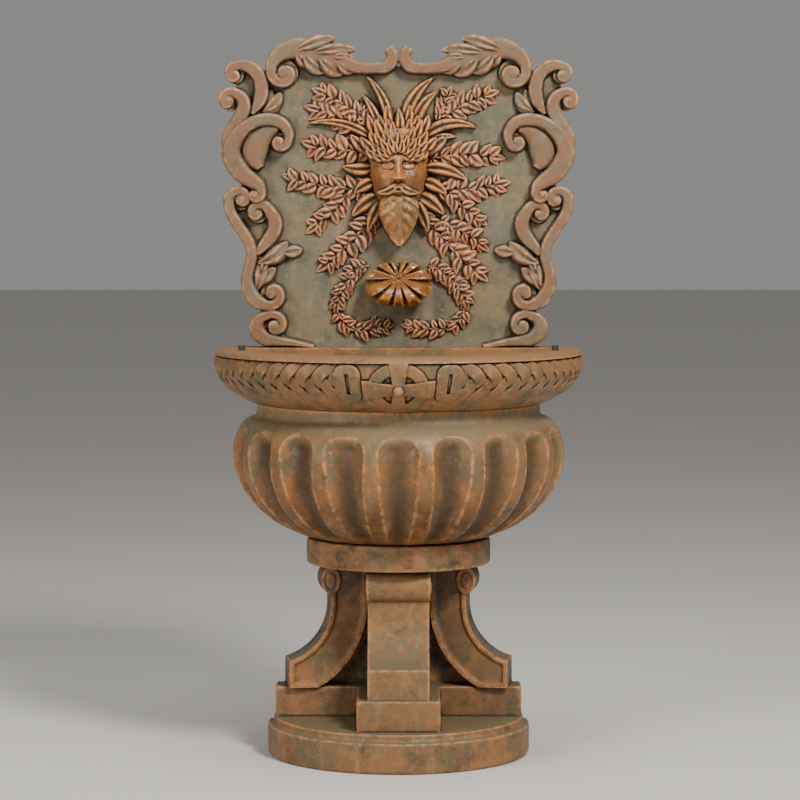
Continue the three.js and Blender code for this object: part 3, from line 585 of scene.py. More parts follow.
def plait(side):
    centre = PLAIT_TOP - PLAIT_HEIGHT / 2
    half = STRAND_HALF
    swing = PLAIT_HEIGHT / 2 - half - 0.5 * MM
    start, end = PLAIT_START, RIM_RADIUS * math.radians(97)
    wave = 3 * PLAIT_PITCH
    parts = []
    for strand in range(3):
        run = np.arange(0, end - start, 3 * MM)
        phase = 2 * math.pi * (run / wave + strand / 3 + 0.08)
        tucked = smooth_step(run, 2 * MM, 26 * MM)
        height = (0.8 + 3.0 * tucked + 3.5 * tucked * np.sin(2 * phase)) * MM
        along, across = side * (start + run), centre + swing * np.cos(phase)
        parts.append(rim_strand("strand", np.column_stack([along, across, np.full(len(run), half), height])))
    slot, reach, rise, corner = 110.4 * MM, 16.8 * MM, 31 * MM, 13 * MM
    loop = []
    for (da, dz), first in zip(((1, 1), (-1, 1), (-1, -1), (1, -1)), (0, 90, 180, 270)):
        middle = (slot + da * (reach - corner), centre + dz * (rise - corner))
        quarter = arc(middle, (corner, corner), first, first + 90, 9)
        for angle, (a, z) in zip(range(first, first + 91, 10), quarter):
            width = 9.5 * MM + 3.1 * MM * abs(math.cos(math.radians(angle)))
            loop.append((side * a, z, width, 6.8 * MM))
    loop += loop[:3]
    parts.append(rim_strand("loop", loop))
    return parts


def ring_cross():
    waist, flare = 12 * MM, 20 * MM

    def half(distance, full_at):
        return waist + (flare - waist) * min(1, abs(distance) / full_at) ** 1.6

    upright = [(0, CROSS_HEIGHT + d, half(d, 46 * MM), CROSS_RELIEF)
               for d in np.linspace(-52 * MM, 58 * MM, 30)]
    beam = [(d, CROSS_HEIGHT, half(d, 70 * MM), CROSS_RELIEF) for d in np.linspace(-78 * MM, 78 * MM, 40)]
    ring = [(54 * MM * math.sin(a), CROSS_HEIGHT + 45 * MM * math.cos(a), 12.5 * MM, CROSS_RELIEF * 0.6)
            for a in np.linspace(0, 2 * math.pi, 65)]
    boss = primitive(bpy.ops.mesh.primitive_uv_sphere_add, segments=32, ring_count=16, radius=12 * MM,
                     location=on_rim(0, CROSS_HEIGHT, CROSS_RELIEF * 0.8))
    strands = (("upright", upright), ("beam", beam), ("ring", ring[:34]), ("ring", ring[31:]))
    return [*(rim_strand(name, path) for name, path in strands), boss]


# %% Build the basin
def build_basin():
    crest = RIM_RADIUS - LIP_WIDTH
    lip_foot = RIM_TOP - LIP_HEIGHT
    heights = BASIN_CURVE_HEIGHT * np.linspace(0, 1, 22) ** 1.5
    curve = [(float(rim_radius(z)), BASIN_FOOT + z) for z in heights]
    groove = [(BAND_RADIUS, lip_foot - 1.5 * MM), (BAND_RADIUS - 3 * MM, lip_foot),
              (RIM_RADIUS, lip_foot + 1.5 * MM)]
    lip = arc((crest, lip_foot), (LIP_WIDTH, LIP_HEIGHT), 6, 90, 12)
    body = turned("basin_body", [(0, BASIN_FOOT), *curve, *groove, *lip, (0, RIM_TOP)], 160)
    mouth = crest - MOUTH_INSET
    floor = BASIN_FOOT + BASIN_FLOOR
    hollow = turned("basin_hollow", [
        (0, floor), (mouth - 32 * MM, floor), (mouth - 14 * MM, floor + 8 * MM),
        (mouth - 5 * MM, floor + 24 * MM), (mouth, RIM_TOP - 8 * MM), (mouth + 4 * MM, RIM_TOP + 1 * MM),
        (mouth + 4 * MM, RIM_TOP + 9 * MM), (0, RIM_TOP + 9 * MM),
    ], 96)
    cut_flat(hollow, (0, WALL_Y - BACK_LEDGE, 0), (0, 1, 0))
    apply_modifier(body, "BOOLEAN", operation="DIFFERENCE", object=hollow, solver="EXACT")
    bpy.data.objects.remove(hollow)
    parts = [body, *plait(1), *plait(-1), *ring_cross()]
    return cast("basin_casting", parts, 1.8 * MM, level_foot=BASIN_FOOT, uneven=0.4 * MM, smoothing=1)


basin = build_basin()

# %% [markdown]
# ## Back panel: plate and scroll frame
#
# The frame is made of C-scrolls whose ends curl into volutes. Each scroll is drawn as a centre line with a
# half width at every point, and its end winds into a spiral about the volute's eye. The drawing is in
# millimetres: heights are measured from the panel's foot and relief from the face of the plate.

# %% Panel drawing
PLATE_Y = WALL_Y - 40 * MM
DRAWN = (PANEL_TOP - PANEL_FOOT) / (680.25 * MM)
SUNK = -5
PAST_BACK = -48


def on_panel(x, z, relief):
    return (x * MM * DRAWN, PLATE_Y - relief * MM, PANEL_FOOT + z * MM * DRAWN)


# Each scroll: centre line points (x, height, half width), then the volute eye at its end and at its start
SCROLLS = {
    "crest": ([(22, 650, 10), (13, 630, 14), (25, 611, 14), (55, 606, 12), (88, 608, 13), (120, 619, 17),
               (155, 633, 21), (190, 645, 24), (224, 649, 23), (256, 638, 18), (274, 617, 14),
               (276, 597, 12)], (247, 596, 15), None),
    "ear": ([(317, 507, 4), (308, 523, 10), (300, 540, 14), (297, 562, 15), (301, 586, 15), (317, 605, 14),
             (338, 613, 12), (358, 610, 10)], (355, 592, 10), None),
    "shoulder": ([(370, 436, 17), (366, 456, 17), (356, 477, 17), (343, 501, 16), (335, 523, 15),
                  (341, 543, 13), (358, 554, 11)], (368, 535, 11), None),
    "flank": ([(296, 336, 9), (302, 350, 13), (318, 363, 17), (339, 377, 20), (356, 400, 21), (364, 426, 20),
               (355, 453, 18), (334, 477, 15), (308, 491, 14), (279, 495, 14), (253, 487, 13), (238, 465, 11),
               (240, 446, 9)], (258, 447, 10), (312, 333, 8)),
    "side": ([(369, 326, 12), (367, 300, 12), (354, 274, 12), (337, 249, 12), (324, 226, 12), (319, 203, 12),
              (324, 179, 12), (330, 153, 13), (327, 129, 15), (312, 103, 16), (291, 92, 13)],
             (277, 118, 12), (343, 320, 11)),
    "inner": ([(309, 203, 6), (298, 217, 11), (283, 234, 14), (271, 254, 15), (269, 276, 15), (282, 300, 12)],
              (306, 290, 10), None),
    "foot": ([(185, 2, 4), (225, 9, 7), (262, 14, 11), (293, 20, 16), (310, 40, 17), (303, 62, 13),
              (284, 71, 10)], (271, 46, 13), None),
}
SCROLL_RELIEF = {"crest": 30, "ear": 25, "shoulder": 28, "flank": 33, "side": 30, "inner": 26, "foot": 30}


# %% Scroll bands
def smooth_path(points, gap):
    points = np.asarray(points, float)
    padded = np.vstack([2 * points[0] - points[1], points, 2 * points[-1] - points[-2]])
    out = []
    for i in range(1, len(padded) - 2):
        p0, p1, p2, p3 = padded[i - 1:i + 3]
        steps = max(2, int(np.linalg.norm(p2[:2] - p1[:2]) / gap))
        for t in np.arange(steps) / steps:
            bend = (2 * p0 - 5 * p1 + 4 * p2 - p3) * t * t
            out.append(0.5 * (2 * p1 + (p2 - p0) * t + bend + (3 * p1 - p0 - 3 * p2 + p3) * t ** 3))
    out.append(padded[-2])
    return np.array(out)


def curl(path, eye, turns=0.74):
    last, before = path[-1], path[-3]
    centre = np.array(eye[:2], float)
    arm, heading = last[:2] - centre, last[:2] - before[:2]
    spin = 1 if arm[0] * heading[1] - arm[1] * heading[0] > 0 else -1
    t = np.linspace(0, 1, 22)[1:]
    reach = np.linalg.norm(arm) * (1 - t) + 0.5 * eye[2] * t
    angle = math.atan2(arm[1], arm[0]) + spin * t * turns * 2 * math.pi
    half = last[2] * (1 - t) + 0.5 * eye[2] * t
    wound = [centre[0] + reach * np.cos(angle), centre[1] + reach * np.sin(angle), half]
    return np.vstack([path, np.column_stack(wound)])


BAND_SECTION = [(-1, None), (-1, 0.72), (-0.9, 0.88), (-0.72, 0.97), (-0.35, 1), (0, 0.985), (0.35, 1),
                (0.72, 0.97), (0.9, 0.88), (1, 0.72), (1, None)]
PETAL_SECTION = [(-1, None), (-1, 0.45), (-0.86, 0.74), (-0.5, 0.95), (0, 1), (0.5, 0.95), (0.86, 0.74),
                 (1, 0.45), (1, None)]
PETAL = [(262, 476, 8), (283, 470, 20), (303, 452, 27), (313, 428, 29), (310, 406, 23), (301, 390, 10)]


# Share of a disc's radius, and how much of the dome's height is lost there
DOME = ((1, 1), (0.86, 0.45), (0.5, 0.1), (0.1, 0))


def carved_band(name, path, side, relief, root, section=BAND_SECTION, rise=0.0):
    path = np.array(path, float)
    step = np.gradient(path[:, :2], axis=0)
    step /= np.maximum(np.linalg.norm(step, axis=1), 1e-9)[:, None]
    share_along = np.linspace(0, 1, len(path))
    rings = []
    for (x, z, half), (dx, dz), share in zip(path, step, share_along):
        top = relief + rise * share ** 3
        rings.append([
            on_panel(side * (x - dz * across * half), z + dx * across * half,
                     root if lift is None else lift * top)
            for across, lift in section
        ])
    return skin(name, rings)


def disc(name, side, centre, radius, relief, root, dome=0.0):
    rings = []
    for share, height in ((1, root), *((share, relief - dome * drop) for share, drop in DOME)):
        circle = arc(centre[:2], (radius * share,) * 2, 0, 345, 23)
        rings.append([on_panel(side * x, z, height) for x, z in circle])
    return skin(name, rings)


def build_scrolls():
    parts = []
    for side in (-1, 1):
        for name, (points, end_eye, start_eye) in SCROLLS.items():
            relief = SCROLL_RELIEF[name]
            root = SUNK if name == "inner" else PAST_BACK
            path = curl(smooth_path(points, 4), end_eye)
            if start_eye:
                path = curl(path[::-1], start_eye)[::-1]
            parts.append(carved_band(name, path, side, relief, root, rise=2))
            for eye in filter(None, (end_eye, start_eye)):
                parts.append(disc(name + "_eye", side, eye, eye[2], relief + 2.5, root, 5))
                parts.append(disc(name + "_ground", side, eye, eye[2] * 1.9, relief * 0.45, root))
        parts.append(carved_band("petal", smooth_path(PETAL, 4), side, 25, SUNK, PETAL_SECTION))
    return parts


def slab_on_panel(name, outline, low, high):
    return skin(name, [[on_panel(x, z, relief) for x, z in outline] for relief in (low, high)])


def build_plate():
    line = {name: [(x, z) for x, z, _ in points] for name, (points, _, _) in SCROLLS.items()}
    half = line["crest"][2:10] + line["ear"][4:7] + [(352, 590), (353, 565)] + line["shoulder"][0:6][::-1]
    half += line["flank"][2:6][::-1] + [(325, 345)] + line["side"] + [(280, 88), (300, 66)]
    half += line["foot"][3:5][::-1] + [(300, -4)]
    outline = half + [(-x, z) for x, z in reversed(half)]
    return slab_on_panel("plate", outline, PAST_BACK, 0)


# %% [markdown]
# ## Leaves
#
# Every leaflet is an oval with a raised rim and a sunk midrib. One function draws it along a bent centre
# line, and the sprays repeat it in pairs along their stems, each copy a little different in size and lean.

# %% Leaf and spray
SPRAY_BASE = 1.0
LEAF_SHARES = (-1, -0.93, -0.8, -0.65, -0.5, -0.3, -0.12, 0, 0.12, 0.3, 0.5, 0.65, 0.8, 0.93, 1)


def leaf(start, end, half, base, height, bend, groove, tip=0.35, name="leaf", veins=0, steps=14,
         fullness=0.72):
    start, end = np.asarray(start, float), np.asarray(end, float)
    run = end - start
    length = np.linalg.norm(run)
    side = np.array([-run[1], run[0]]) / length
    rings = []
    for t in np.linspace(0.0, 1.0, steps):
        middle = start + run * t + side * bend * length * 4 * t * (1 - t)
        slope = run / length + side * bend * 4 * (1 - 2 * t)
        slope /= np.linalg.norm(slope)
        across = np.array([-slope[1], slope[0]])
        width = half * (math.sin(math.pi * min(1, t ** fullness * 0.97 + 0.02)) ** 0.75 + 0.05)
        crown = height * (1 - (1 - tip) * t) * (0.55 + 0.45 * math.sin(math.pi * min(1, t * 1.2)))
        ring = []
        for s in LEAF_SHARES:
            rim = 0.25 + 0.75 * math.sqrt(max(0.0, 1 - abs(s) ** 3))
            dip = groove * math.exp(-(s / 0.3) ** 2)
            if veins:
                phase = (t * veins - abs(s) * 1.3) % 1.0
                dip += 0.22 * math.exp(-((phase - 0.5) / 0.2) ** 2) * min(1, abs(s) * 3)
            place = middle + across * s * width
            ring.append(on_panel(*place, base + crown * rim * (1 - dip)))
        rings.append(ring + [on_panel(*(middle + across * s * width), SUNK) for s in (1, -1)])
    return skin(name, rings)


def spray(rng, start, end, size, bend):
    start, end = np.asarray(start, float), np.asarray(end, float)
    run = end - start
    length = np.linalg.norm(run)
    side = np.array([-run[1], run[0]]) / length
    parts = [leaf(start, end, 3.5, 0, 10, bend, 0, 0.6, "stem")]
    pairs = max(1, round(length / (size * 0.62)))
    for i in range(pairs):
        share = (i + 0.45) / (pairs + 0.2)
        middle = start + run * share + side * bend * length * 4 * share * (1 - share)
        heading = run / length + side * bend * 4 * (1 - 2 * share)
        angle = math.atan2(heading[1], heading[0])
        grow = 1 - 0.22 * abs(share - 0.4) * 2
        for turn in (-1, 1):
            lean = angle + turn * math.radians(34 + 34 * rng.random())
            reach = size * grow * (0.84 + 0.32 * rng.random())
            direction = np.array([math.cos(lean), math.sin(lean)])
            foot = middle + direction * 2
            lift = SPRAY_BASE + 8 * rng.random()
            half = reach * (0.27 + 0.09 * rng.random())
            parts.append(leaf(foot, foot + direction * reach, half, lift, 12, 0.08 * rng.normal(), 0.6))
    direction = run / length + side * bend * -4
    direction /= np.linalg.norm(direction)
    foot, tip = end - direction * size * 0.5, end + direction * size * 0.55
    return parts + [leaf(foot, tip, size * 0.27, SPRAY_BASE + 2, 13, 0, 0.6)]


# Stem start and end, leaflet length, bend
SPRAYS = [
    ((-66, 488), (-172, 556), 33, -0.04), ((-74, 474), (-188, 520), 33, -0.03),
    ((-56, 470), (-78, 520), 24, 0.05), ((-60, 430), (-194, 442), 35, 0.05),
    ((-62, 346), (-236, 370), 34, 0.05), ((-112, 336), (-188, 258), 33, 0.04),
    ((-44, 300), (-164, 176), 35, 0.03), ((76, 486), (202, 552), 33, 0.04), ((84, 496), (110, 556), 25, 0.0),
    ((62, 408), (214, 414), 34, 0.05), ((62, 346), (226, 356), 35, -0.05),
    ((106, 342), (178, 276), 32, -0.04), ((44, 300), (180, 156), 35, -0.03),
    ((84, 276), (184, 220), 31, 0.05), ((-86, 164), (-136, 84), 27, -0.12),
    ((-132, 78), (-104, 42), 26, -0.12), ((-100, 40), (-22, 46), 26, -0.04), ((86, 164), (148, 92), 27, 0.12),
    ((144, 86), (116, 44), 26, 0.12), ((108, 40), (20, 46), 26, 0.04), ((-64, 178), (-110, 160), 24, -0.05),
    ((64, 178), (140, 132), 26, 0.06),
]
# Stalk, tip, half width, base height, relief and bend, for the right half; the left half is its mirror image
SPRIGS = [
    ((306, 184), (243, 230), 17, 10, 22, 0.12), ((256, 208), (210, 213), 13, 8, 18, 0.05),
    ((290, 182), (245, 198), 11, 10, 18, -0.05), ((311, 124), (302, 196), 16, 10, 22, 0.10),
    ((304, 130), (268, 172), 14, 10, 20, -0.08), ((300, 160), (284, 196), 9, 10, 20, 0.0),
    ((294, 512), (256, 554), 13, 6, 18, 0.10), ((292, 508), (258, 524), 9, 6, 16, 0.0),
    ((294, 520), (276, 560), 10, 4, 16, 0.06),
]
ACANTHUS = [
    ((226, 642), (138, 670), 15, 16, 26, -0.05), ((190, 637), (93, 645), 13, 16, 24, -0.06),
    ((150, 629), (98, 630), 8, 18, 20, -0.04), ((222, 640), (192, 612), 12, 14, 22, 0.10),
    ((206, 640), (160, 597), 14, 14, 24, 0.13), ((172, 634), (122, 592), 14, 14, 24, 0.12),
    ((134, 620), (98, 597), 10, 16, 20, 0.10),
]


def build_sprays():
    rng = np.random.default_rng(7)
    return [part for values in SPRAYS for part in spray(rng, *values)]


def mirrored(side, start, end, half, base, height, bend):
    return (side * start[0], start[1]), (side * end[0], end[1]), half, base, height, side * bend


def build_frame_leaves():
    parts = []
    for side in (-1, 1):
        for group, groove in ((SPRIGS, 0.3), (ACANTHUS, 0.26)):
            parts += [leaf(*mirrored(side, *values), groove, 0.6, steps=20, fullness=1.2) for values in group]
    return parts


# %% [markdown]
# ## Mask
#
# The face is a calm one of plain proportions: eyes on the middle line, the nose a third of the height, the
# mouth a third of the way from nose to chin. It is drawn as relief over a half-round mask, feature by
# feature. Hair, brows, moustache and beard are leaves.

# %% Face relief
FACE_CENTRE = 383.0
FACE_HALF_HEIGHT = 92.0
FACE_EDGE = 68


def bump(x, z, cx, cz, rx, rz):
    return np.exp(-((x - cx) / rx) ** 2 - ((z - cz) / rz) ** 2)


def ridge_at(value, centre, width, power=2):
    return np.exp(-((value - centre) / width) ** power)


def face_relief(x, z):
    # half-round mask
    breadth = np.interp(z, [-92, -70, -45, -10, 30, 60, 92], [34, 46, 57, 66, 66, 62, 48])
    off = np.clip(np.abs(x) / breadth, 0, 1)
    relief = 66 * (1 - off ** 2.6) ** 0.55 * (1 - 0.22 * (z / 92) ** 2)
    ax = np.abs(x)
    # brows, eyes and lids
    relief += 5.5 * ridge_at(z, 29 - 0.006 * (ax - 16) ** 2, 5.5) * ridge_at(ax, 23, 20, 4)
    relief -= 9 * bump(ax, z, 22, 13, 15, 9)
    ball = np.clip(1 - ((ax - 23) / 13.5) ** 2 - ((z - 12) / 7.5) ** 2, 0, 1)
    relief += 7.5 * ball ** 0.5
    lid = 12 + 7.8 * (1 - ((ax - 23) / 15) ** 2)
    low_lid = 12 - 7.2 * (1 - ((ax - 23) / 14) ** 2)
    near = ridge_at(ax, 23, 13, 6)
    relief += near * (3.2 * ridge_at(z, lid, 2.0) + 2.2 * ridge_at(z, low_lid, 1.8))
    relief -= near * 2.0 * ridge_at(z - lid, 4.2, 1.6)
    # nose and cheeks
    slope = np.clip((26 - z) / 42, 0, 1)
    nose = (5 + 17 * slope ** 1.3) * ridge_at(x, 0, 6 + 5 * slope)
    relief += nose * smooth_step(z, -26, -14) * (1 - smooth_step(z, 22, 44))
    relief += 9 * bump(ax, z, 11, -14, 5, 6)
    relief -= 5 * bump(ax, z, 6, -22, 3, 2.6)
    relief += 5 * bump(ax, z, 34, -14, 15, 15)
    # mouth and chin
    relief += 5 * bump(x, z, 0, -38, 26, 15)
    bow = -34 - 1.2 * np.cos(x / 6.0) - 0.004 * x * x
    relief += ridge_at(x, 0, 21, 4) * 4.5 * ridge_at(z, bow, 3.2)
    relief += ridge_at(x, 0, 17, 4) * 6 * ridge_at(z, -44.5, 4)
    relief -= ridge_at(x, 0, 22, 6) * 5.5 * ridge_at(z, -39.3, 1.5)
    relief -= 4 * bump(x, z, 0, -53, 14, 4)
    relief += 7 * bump(x, z, 0, -68, 17, 12)
    return np.maximum(relief, 0)


def build_face():
    heights = np.linspace(-FACE_HALF_HEIGHT, FACE_HALF_HEIGHT, 110)
    rings = []
    for z in heights:
        across = np.linspace(-FACE_EDGE, FACE_EDGE, 92)
        relief = face_relief(across, np.full_like(across, z))
        ring = [*zip(across, relief), (FACE_EDGE, SUNK), (-FACE_EDGE, SUNK)]
        rings.append([on_panel(x, FACE_CENTRE + z, height) for x, height in ring])
    return skin("face", rings)


# Stalk, tip, half width, base height, relief and bend of the blades and side leaves
BLADES = [
    ((-18, 468), (-68, 588), 10, 16, 18, -0.10), ((-40, 462), (-78, 548), 9, 14, 16, -0.08),
    ((14, 468), (73, 584), 13, 16, 18, 0.13), ((32, 466), (82, 554), 13, 14, 18, 0.12),
    ((44, 448), (170, 478), 12, 16, 16, 0.17), ((60, 444), (126, 458), 8, 12, 14, 0.10),
    ((-46, 446), (-192, 488), 9, 12, 14, -0.12), ((-50, 424), (-104, 462), 14, 14, 20, 0.08),
    ((50, 424), (106, 464), 14, 14, 20, -0.08), ((-54, 392), (-122, 394), 13, 14, 20, 0.08),
    ((54, 390), (146, 366), 13, 14, 20, 0.10), ((-52, 362), (-96, 336), 13, 16, 20, -0.06),
    ((52, 362), (104, 334), 13, 16, 20, 0.08), ((-40, 330), (-100, 286), 15, 14, 22, -0.08),
    ((38, 332), (98, 290), 15, 14, 22, 0.08), ((-30, 322), (-66, 254), 14, 18, 20, -0.06),
    ((30, 322), (64, 252), 14, 18, 20, 0.06),
]
# The same for the right half of the face; the left half is its mirror image
FACE_LEAVES = [
    ((6, 421), (52, 414), 8, 60, 13, -0.16), ((3, 356), (46, 338), 9, 64, 13, -0.16),
    ((10, 344), (40, 300), 11, 50, 14, -0.1),
]
# Middle height, start and tip distance, half width, base height, leaves, half spread in degrees
HAIR_TIERS = [
    (380, 96, 146, 10, 26, 7, 30), (392, 66, 118, 10, 36, 9, 56), (396, 50, 92, 9, 46, 10, 70),
    (398, 34, 72, 8, 56, 9, 74), (398, 24, 54, 7, 63, 8, 66),
]


def build_hair():
    parts = []
    for middle, start, end, half, base, count, spread in HAIR_TIERS:
        for i, turn in enumerate(np.radians(np.linspace(-spread, spread, count))):
            tip = end * (1 - 0.16 * abs(turn)) * (1 + 0.05 * (-1) ** i)
            stalk_at = (start * math.sin(turn), middle + start * math.cos(turn))
            tip_at = (tip * math.sin(turn * 0.92), middle + tip * math.cos(turn * 0.92))
            bend = -0.06 * math.copysign(1, turn)
            parts.append(leaf(stalk_at, tip_at, half, base, 15, bend, 0.55, 0.45, "hair_leaf"))
    return parts


def build_mask():
    parts = [build_face(), *build_hair()]
    on_face = [mirrored(side, *values) for values in FACE_LEAVES for side in (-1, 1)]
    parts += [leaf(*values, 0.5, 0.5, "blade", steps=22) for values in BLADES + on_face]
    beard = leaf((0, 340), (2, 222), 42, 50, 24, 0, 0.3, 0.5, "beard", veins=5, steps=60, fullness=0.62)
    return parts + [beard]


# %% Build the panel
SEAT_CENTRE = (0, 138)


def build_panel():
    frame_parts = [build_plate(), *build_scrolls(), *build_frame_leaves()]
    frame_parts.append(slab_on_panel("seat", arc(SEAT_CENTRE, (66, 44), 0, 350, 35), SUNK, 15.5))
    sprays, mask = build_sprays(), build_mask()
    # The whole panel's hollows give wash and painted shade where the castings meet.
    around = surroundings(frame_parts + sprays + mask, 2.4 * MM)
    fine = {"uneven": 0.4 * MM, "around": around, "smoothing": 1}
    return [
        cast("panel_casting", frame_parts, 2.1 * MM, level_foot=PANEL_FOOT, around=around, edge=0.75),
        cast("spray_casting", sprays, 1.5 * MM, edge=0.7, **fine),
        cast("mask_casting", mask, 1.5 * MM, limit=150000, edge=0.5, **fine),
    ]


panel, sprays, mask = build_panel()

# %% [markdown]
# ## Spill shell
#
# The shell under the mask catches the water and spills it over a scalloped lip. Its ribs fan out from a
# hinge at the top. It stays wet, so it is darker and glossier than the stone round it.

# %% Build the shell
SHELL_VOXEL = 1.35 * MM
SHELL_HALVES = (73.0, 51.0)


def build_shell():
    hinge = np.array([0.0, 152.0])
    turn = np.linspace(0, 2 * math.pi, 240, endpoint=False)
    rim = np.column_stack([SHELL_HALVES[0] * np.cos(turn), SEAT_CENTRE[1] + SHELL_HALVES[1] * np.sin(turn)])
    angle = np.degrees(np.arctan2(rim[:, 0], hinge[1] - rim[:, 1]))
    crest = np.abs(np.cos(np.radians(angle * 5.5)))
    notch = 1 - 0.45 * np.exp(-((np.abs(angle) - 180) / 14) ** 2)
    rings = []
    for share in np.linspace(0.06, 1.0, 30):
        ribs = smooth_step(crest, 0.03, 0.3 + 0.4 * share)
        reach = share * (1 - 0.07 * (1 - ribs)) * notch
        x = hinge[0] + (rim[:, 0] - hinge[0]) * reach
        z = hinge[1] + (rim[:, 1] - hinge[1]) * reach
        drop = np.clip((hinge[1] - z) / SHELL_HALVES[0], 0, 1)
        dome = 0.34 + 0.66 * np.sin(np.minimum(1, drop * 1.35) * math.pi / 2)
        bulge = 17 + 76 * dome * (1 - 0.34 * share ** 5) - 17 * (1 - ribs) * min(1, share * 2.4)
        rings.append([on_panel(*point) for point in zip(x, z, bulge)])
    rings.append([on_panel(a * 0.95, hinge[1] + (b - hinge[1]) * 0.95, 16.4) for a, b in rim])
    piece = fuse("shell_casting", [skin("shell", rings)], SHELL_VOXEL)
    store_wear_and_shade(piece, measure_wear_and_shade(piece.data, SHELL_VOXEL * COARSE)[1])
    pick(piece)
    bpy.ops.object.shade_smooth()
    print("shell_casting", len(piece.data.polygons), "faces")
    return piece


shell = build_shell()


# %% Build the rim plugs
def build_plug(side):
    low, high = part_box("rim_plug_" + side)
    centre = (low + high) / 2
    plug = primitive(bpy.ops.mesh.primitive_cylinder_add, vertices=48, radius=(high.x - low.x) / 2,
                     depth=high.z - low.z, location=centre)
    plug.name = "plug_" + side
    select_faces(plug, lambda face: face.normal.z > 0.9)
    bpy.ops.mesh.bevel(offset=1.6 * MM, segments=4, affect="EDGES")
    leave_edit()
    select_faces(plug, lambda face: face.normal.z > 0.99)
    bpy.ops.mesh.inset(thickness=2 * MM, depth=-1.2 * MM)
    leave_edit()
    pick(plug)
    bpy.ops.object.shade_smooth_by_angle(angle=math.radians(40))
    return plug


plugs = {side: build_plug(side) for side in ("left", "right")}

# %% [markdown]
# ## Patina
#
# The stone is stained in layers: a mottled ground, toned by its place on the piece with some painted shade
# and light, grey dust on whatever looks up, copper rubbed on to the ridges, a dark wash with painted shade in
# the hollows and a fine cast grain. The layers are node groups with their own inputs, and each material gives
# them its own colours.

# %% Node helpers
COLOUR_SLOTS = ("Main", "Warm", "Cool", "Dark", "Pale")
SOCKETS = {"Vector": "NodeSocketVector", "Level": "NodeSocketFloat", "Height": "NodeSocketFloat"}


def srgb(code):
    values = [int(code[i:i + 2], 16) / 255 for i in (0, 2, 4)]
    return tuple(v / 12.92 if v <= 0.04045 else ((v + 0.055) / 1.055) ** 2.4 for v in values) + (1.0,)


def feed(tree, value, socket):
    if isinstance(value, bpy.types.NodeSocket):
        tree.links.new(value, socket)
    else:
        socket.default_value = value


def add_node(tree, kind, values, **settings):
    node = tree.nodes.new("ShaderNode" + kind)
    for name, value in settings.items():
        setattr(node, name, value)
    for socket, value in values.items():
        feed(tree, value, node.inputs[socket])
    return node.outputs


def noise(tree, vector, scale, detail=5.0, roughness=0.6):
    values = {"Vector": vector, "Scale": scale, "Detail": detail, "Roughness": roughness}
    return add_node(tree, "TexNoise", values)["Fac"]


def ranged(tree, value, low, high, out_low=0.0, out_high=1.0):
    values = {"Value": value, "From Min": low, "From Max": high, "To Min": out_low, "To Max": out_high}
    return add_node(tree, "MapRange", values, interpolation_type="SMOOTHSTEP")["Result"]


# The Mix node has sockets for every kind of value: 6, 7 and output 2 are those for colours
def mixed(tree, factor, first, second):
    return add_node(tree, "Mix", {0: factor, 6: first, 7: second}, data_type="RGBA")[2]


def sums(tree, operation, first, second):
    return add_node(tree, "Math", {0: first, 1: second}, operation=operation, use_clamp=True)[0]


def times(tree, first, second):
    return sums(tree, "MULTIPLY", first, second)


def new_group(name, inputs, output):
    group = bpy.data.node_groups.new(name, "ShaderNodeTree")
    for label, way in [(label, "INPUT") for label in inputs] + [(output, "OUTPUT")]:
        kind = SOCKETS.get(label, "NodeSocketColor")
        group.interface.new_socket(name=label, in_out=way, socket_type=kind)
    given, out = group.nodes.new("NodeGroupInput"), group.nodes.new("NodeGroupOutput")
    return group, given.outputs, out.inputs[output]


def new_material(name):
    material = bpy.data.materials.new(name)
    material.use_nodes = True
    tree = material.node_tree
    vector = tree.nodes.new("ShaderNodeTexCoord").outputs["Object"]
    return material, tree, vector, tree.nodes["Principled BSDF"].inputs


# %% Node groups
# Colour, whether it runs down, noise scale, detail and roughness, where it starts and is full, amount
GROUND_LAYERS = (
    ("Warm", False, 7, 7, 0.65, 0.42, 0.60, 0.95), ("Cool", False, 13, 7, 0.72, 0.46, 0.60, 0.9),
    ("Dark", False, 5, 6, 0.7, 0.5, 0.68, 0.5), ("Pale", True, 30, 5, 0.6, 0.54, 0.72, 0.45),
    ("Warm", False, 38, 5, 0.7, 0.48, 0.64, 0.6), ("Cool", False, 45, 5, 0.7, 0.52, 0.66, 0.5),
    ("Dark", False, 20, 7, 0.72, 0.53, 0.7, 0.55), ("Pale", False, 60, 5, 0.7, 0.56, 0.7, 0.5),
    ("Dark", False, 150, 3, 0.6, 0.58, 0.72, 0.35),
)


def mottled_ground():
    group, given, out = new_group("Mottled ground", ("Vector", *COLOUR_SLOTS), "Color")
    vector = given["Vector"]
    runs = add_node(group, "VectorMath", {0: vector, 1: (1, 1, 0.16)}, operation="MULTIPLY")[0]
    color = given["Main"]
    for label, running, scale, detail, roughness, low, high, amount in GROUND_LAYERS:
        value = noise(group, runs if running else vector, scale, detail, roughness)
        color = mixed(group, ranged(group, value, low, high, 0, amount), color, given[label])
    feed(group, color, out)
    return group


# A dark patina wash in the hollows, which also stands in as painted shade in the recesses.
def hollow_wash_and_shade():
    group, given, out = new_group("Wash and shade in hollows", ("Vector", "Color", "Tint", "Level"), "Color")
    ragged = times(group, noise(group, given["Vector"], 90, 4, 0.7), 0.16)
    mask = ranged(group, sums(group, "ADD", given["Level"], ragged), 0.14, 0.62, 0, 0.95)
    feed(group, mixed(group, mask, given["Color"], given["Tint"]), out)
    return group


def copper_rub():
    group, given, out = new_group("Copper on ridges", ("Vector", "Color", "Tint", "Level"), "Color")
    ragged = ranged(group, noise(group, given["Vector"], 60, 5, 0.7), 0.36, 0.6, 0.15, 1.2)
    mask = ranged(group, times(group, given["Level"], ragged), 0.06, 0.6, 0, 0.9)
    feed(group, mixed(group, mask, given["Color"], given["Tint"]), out)
    return group


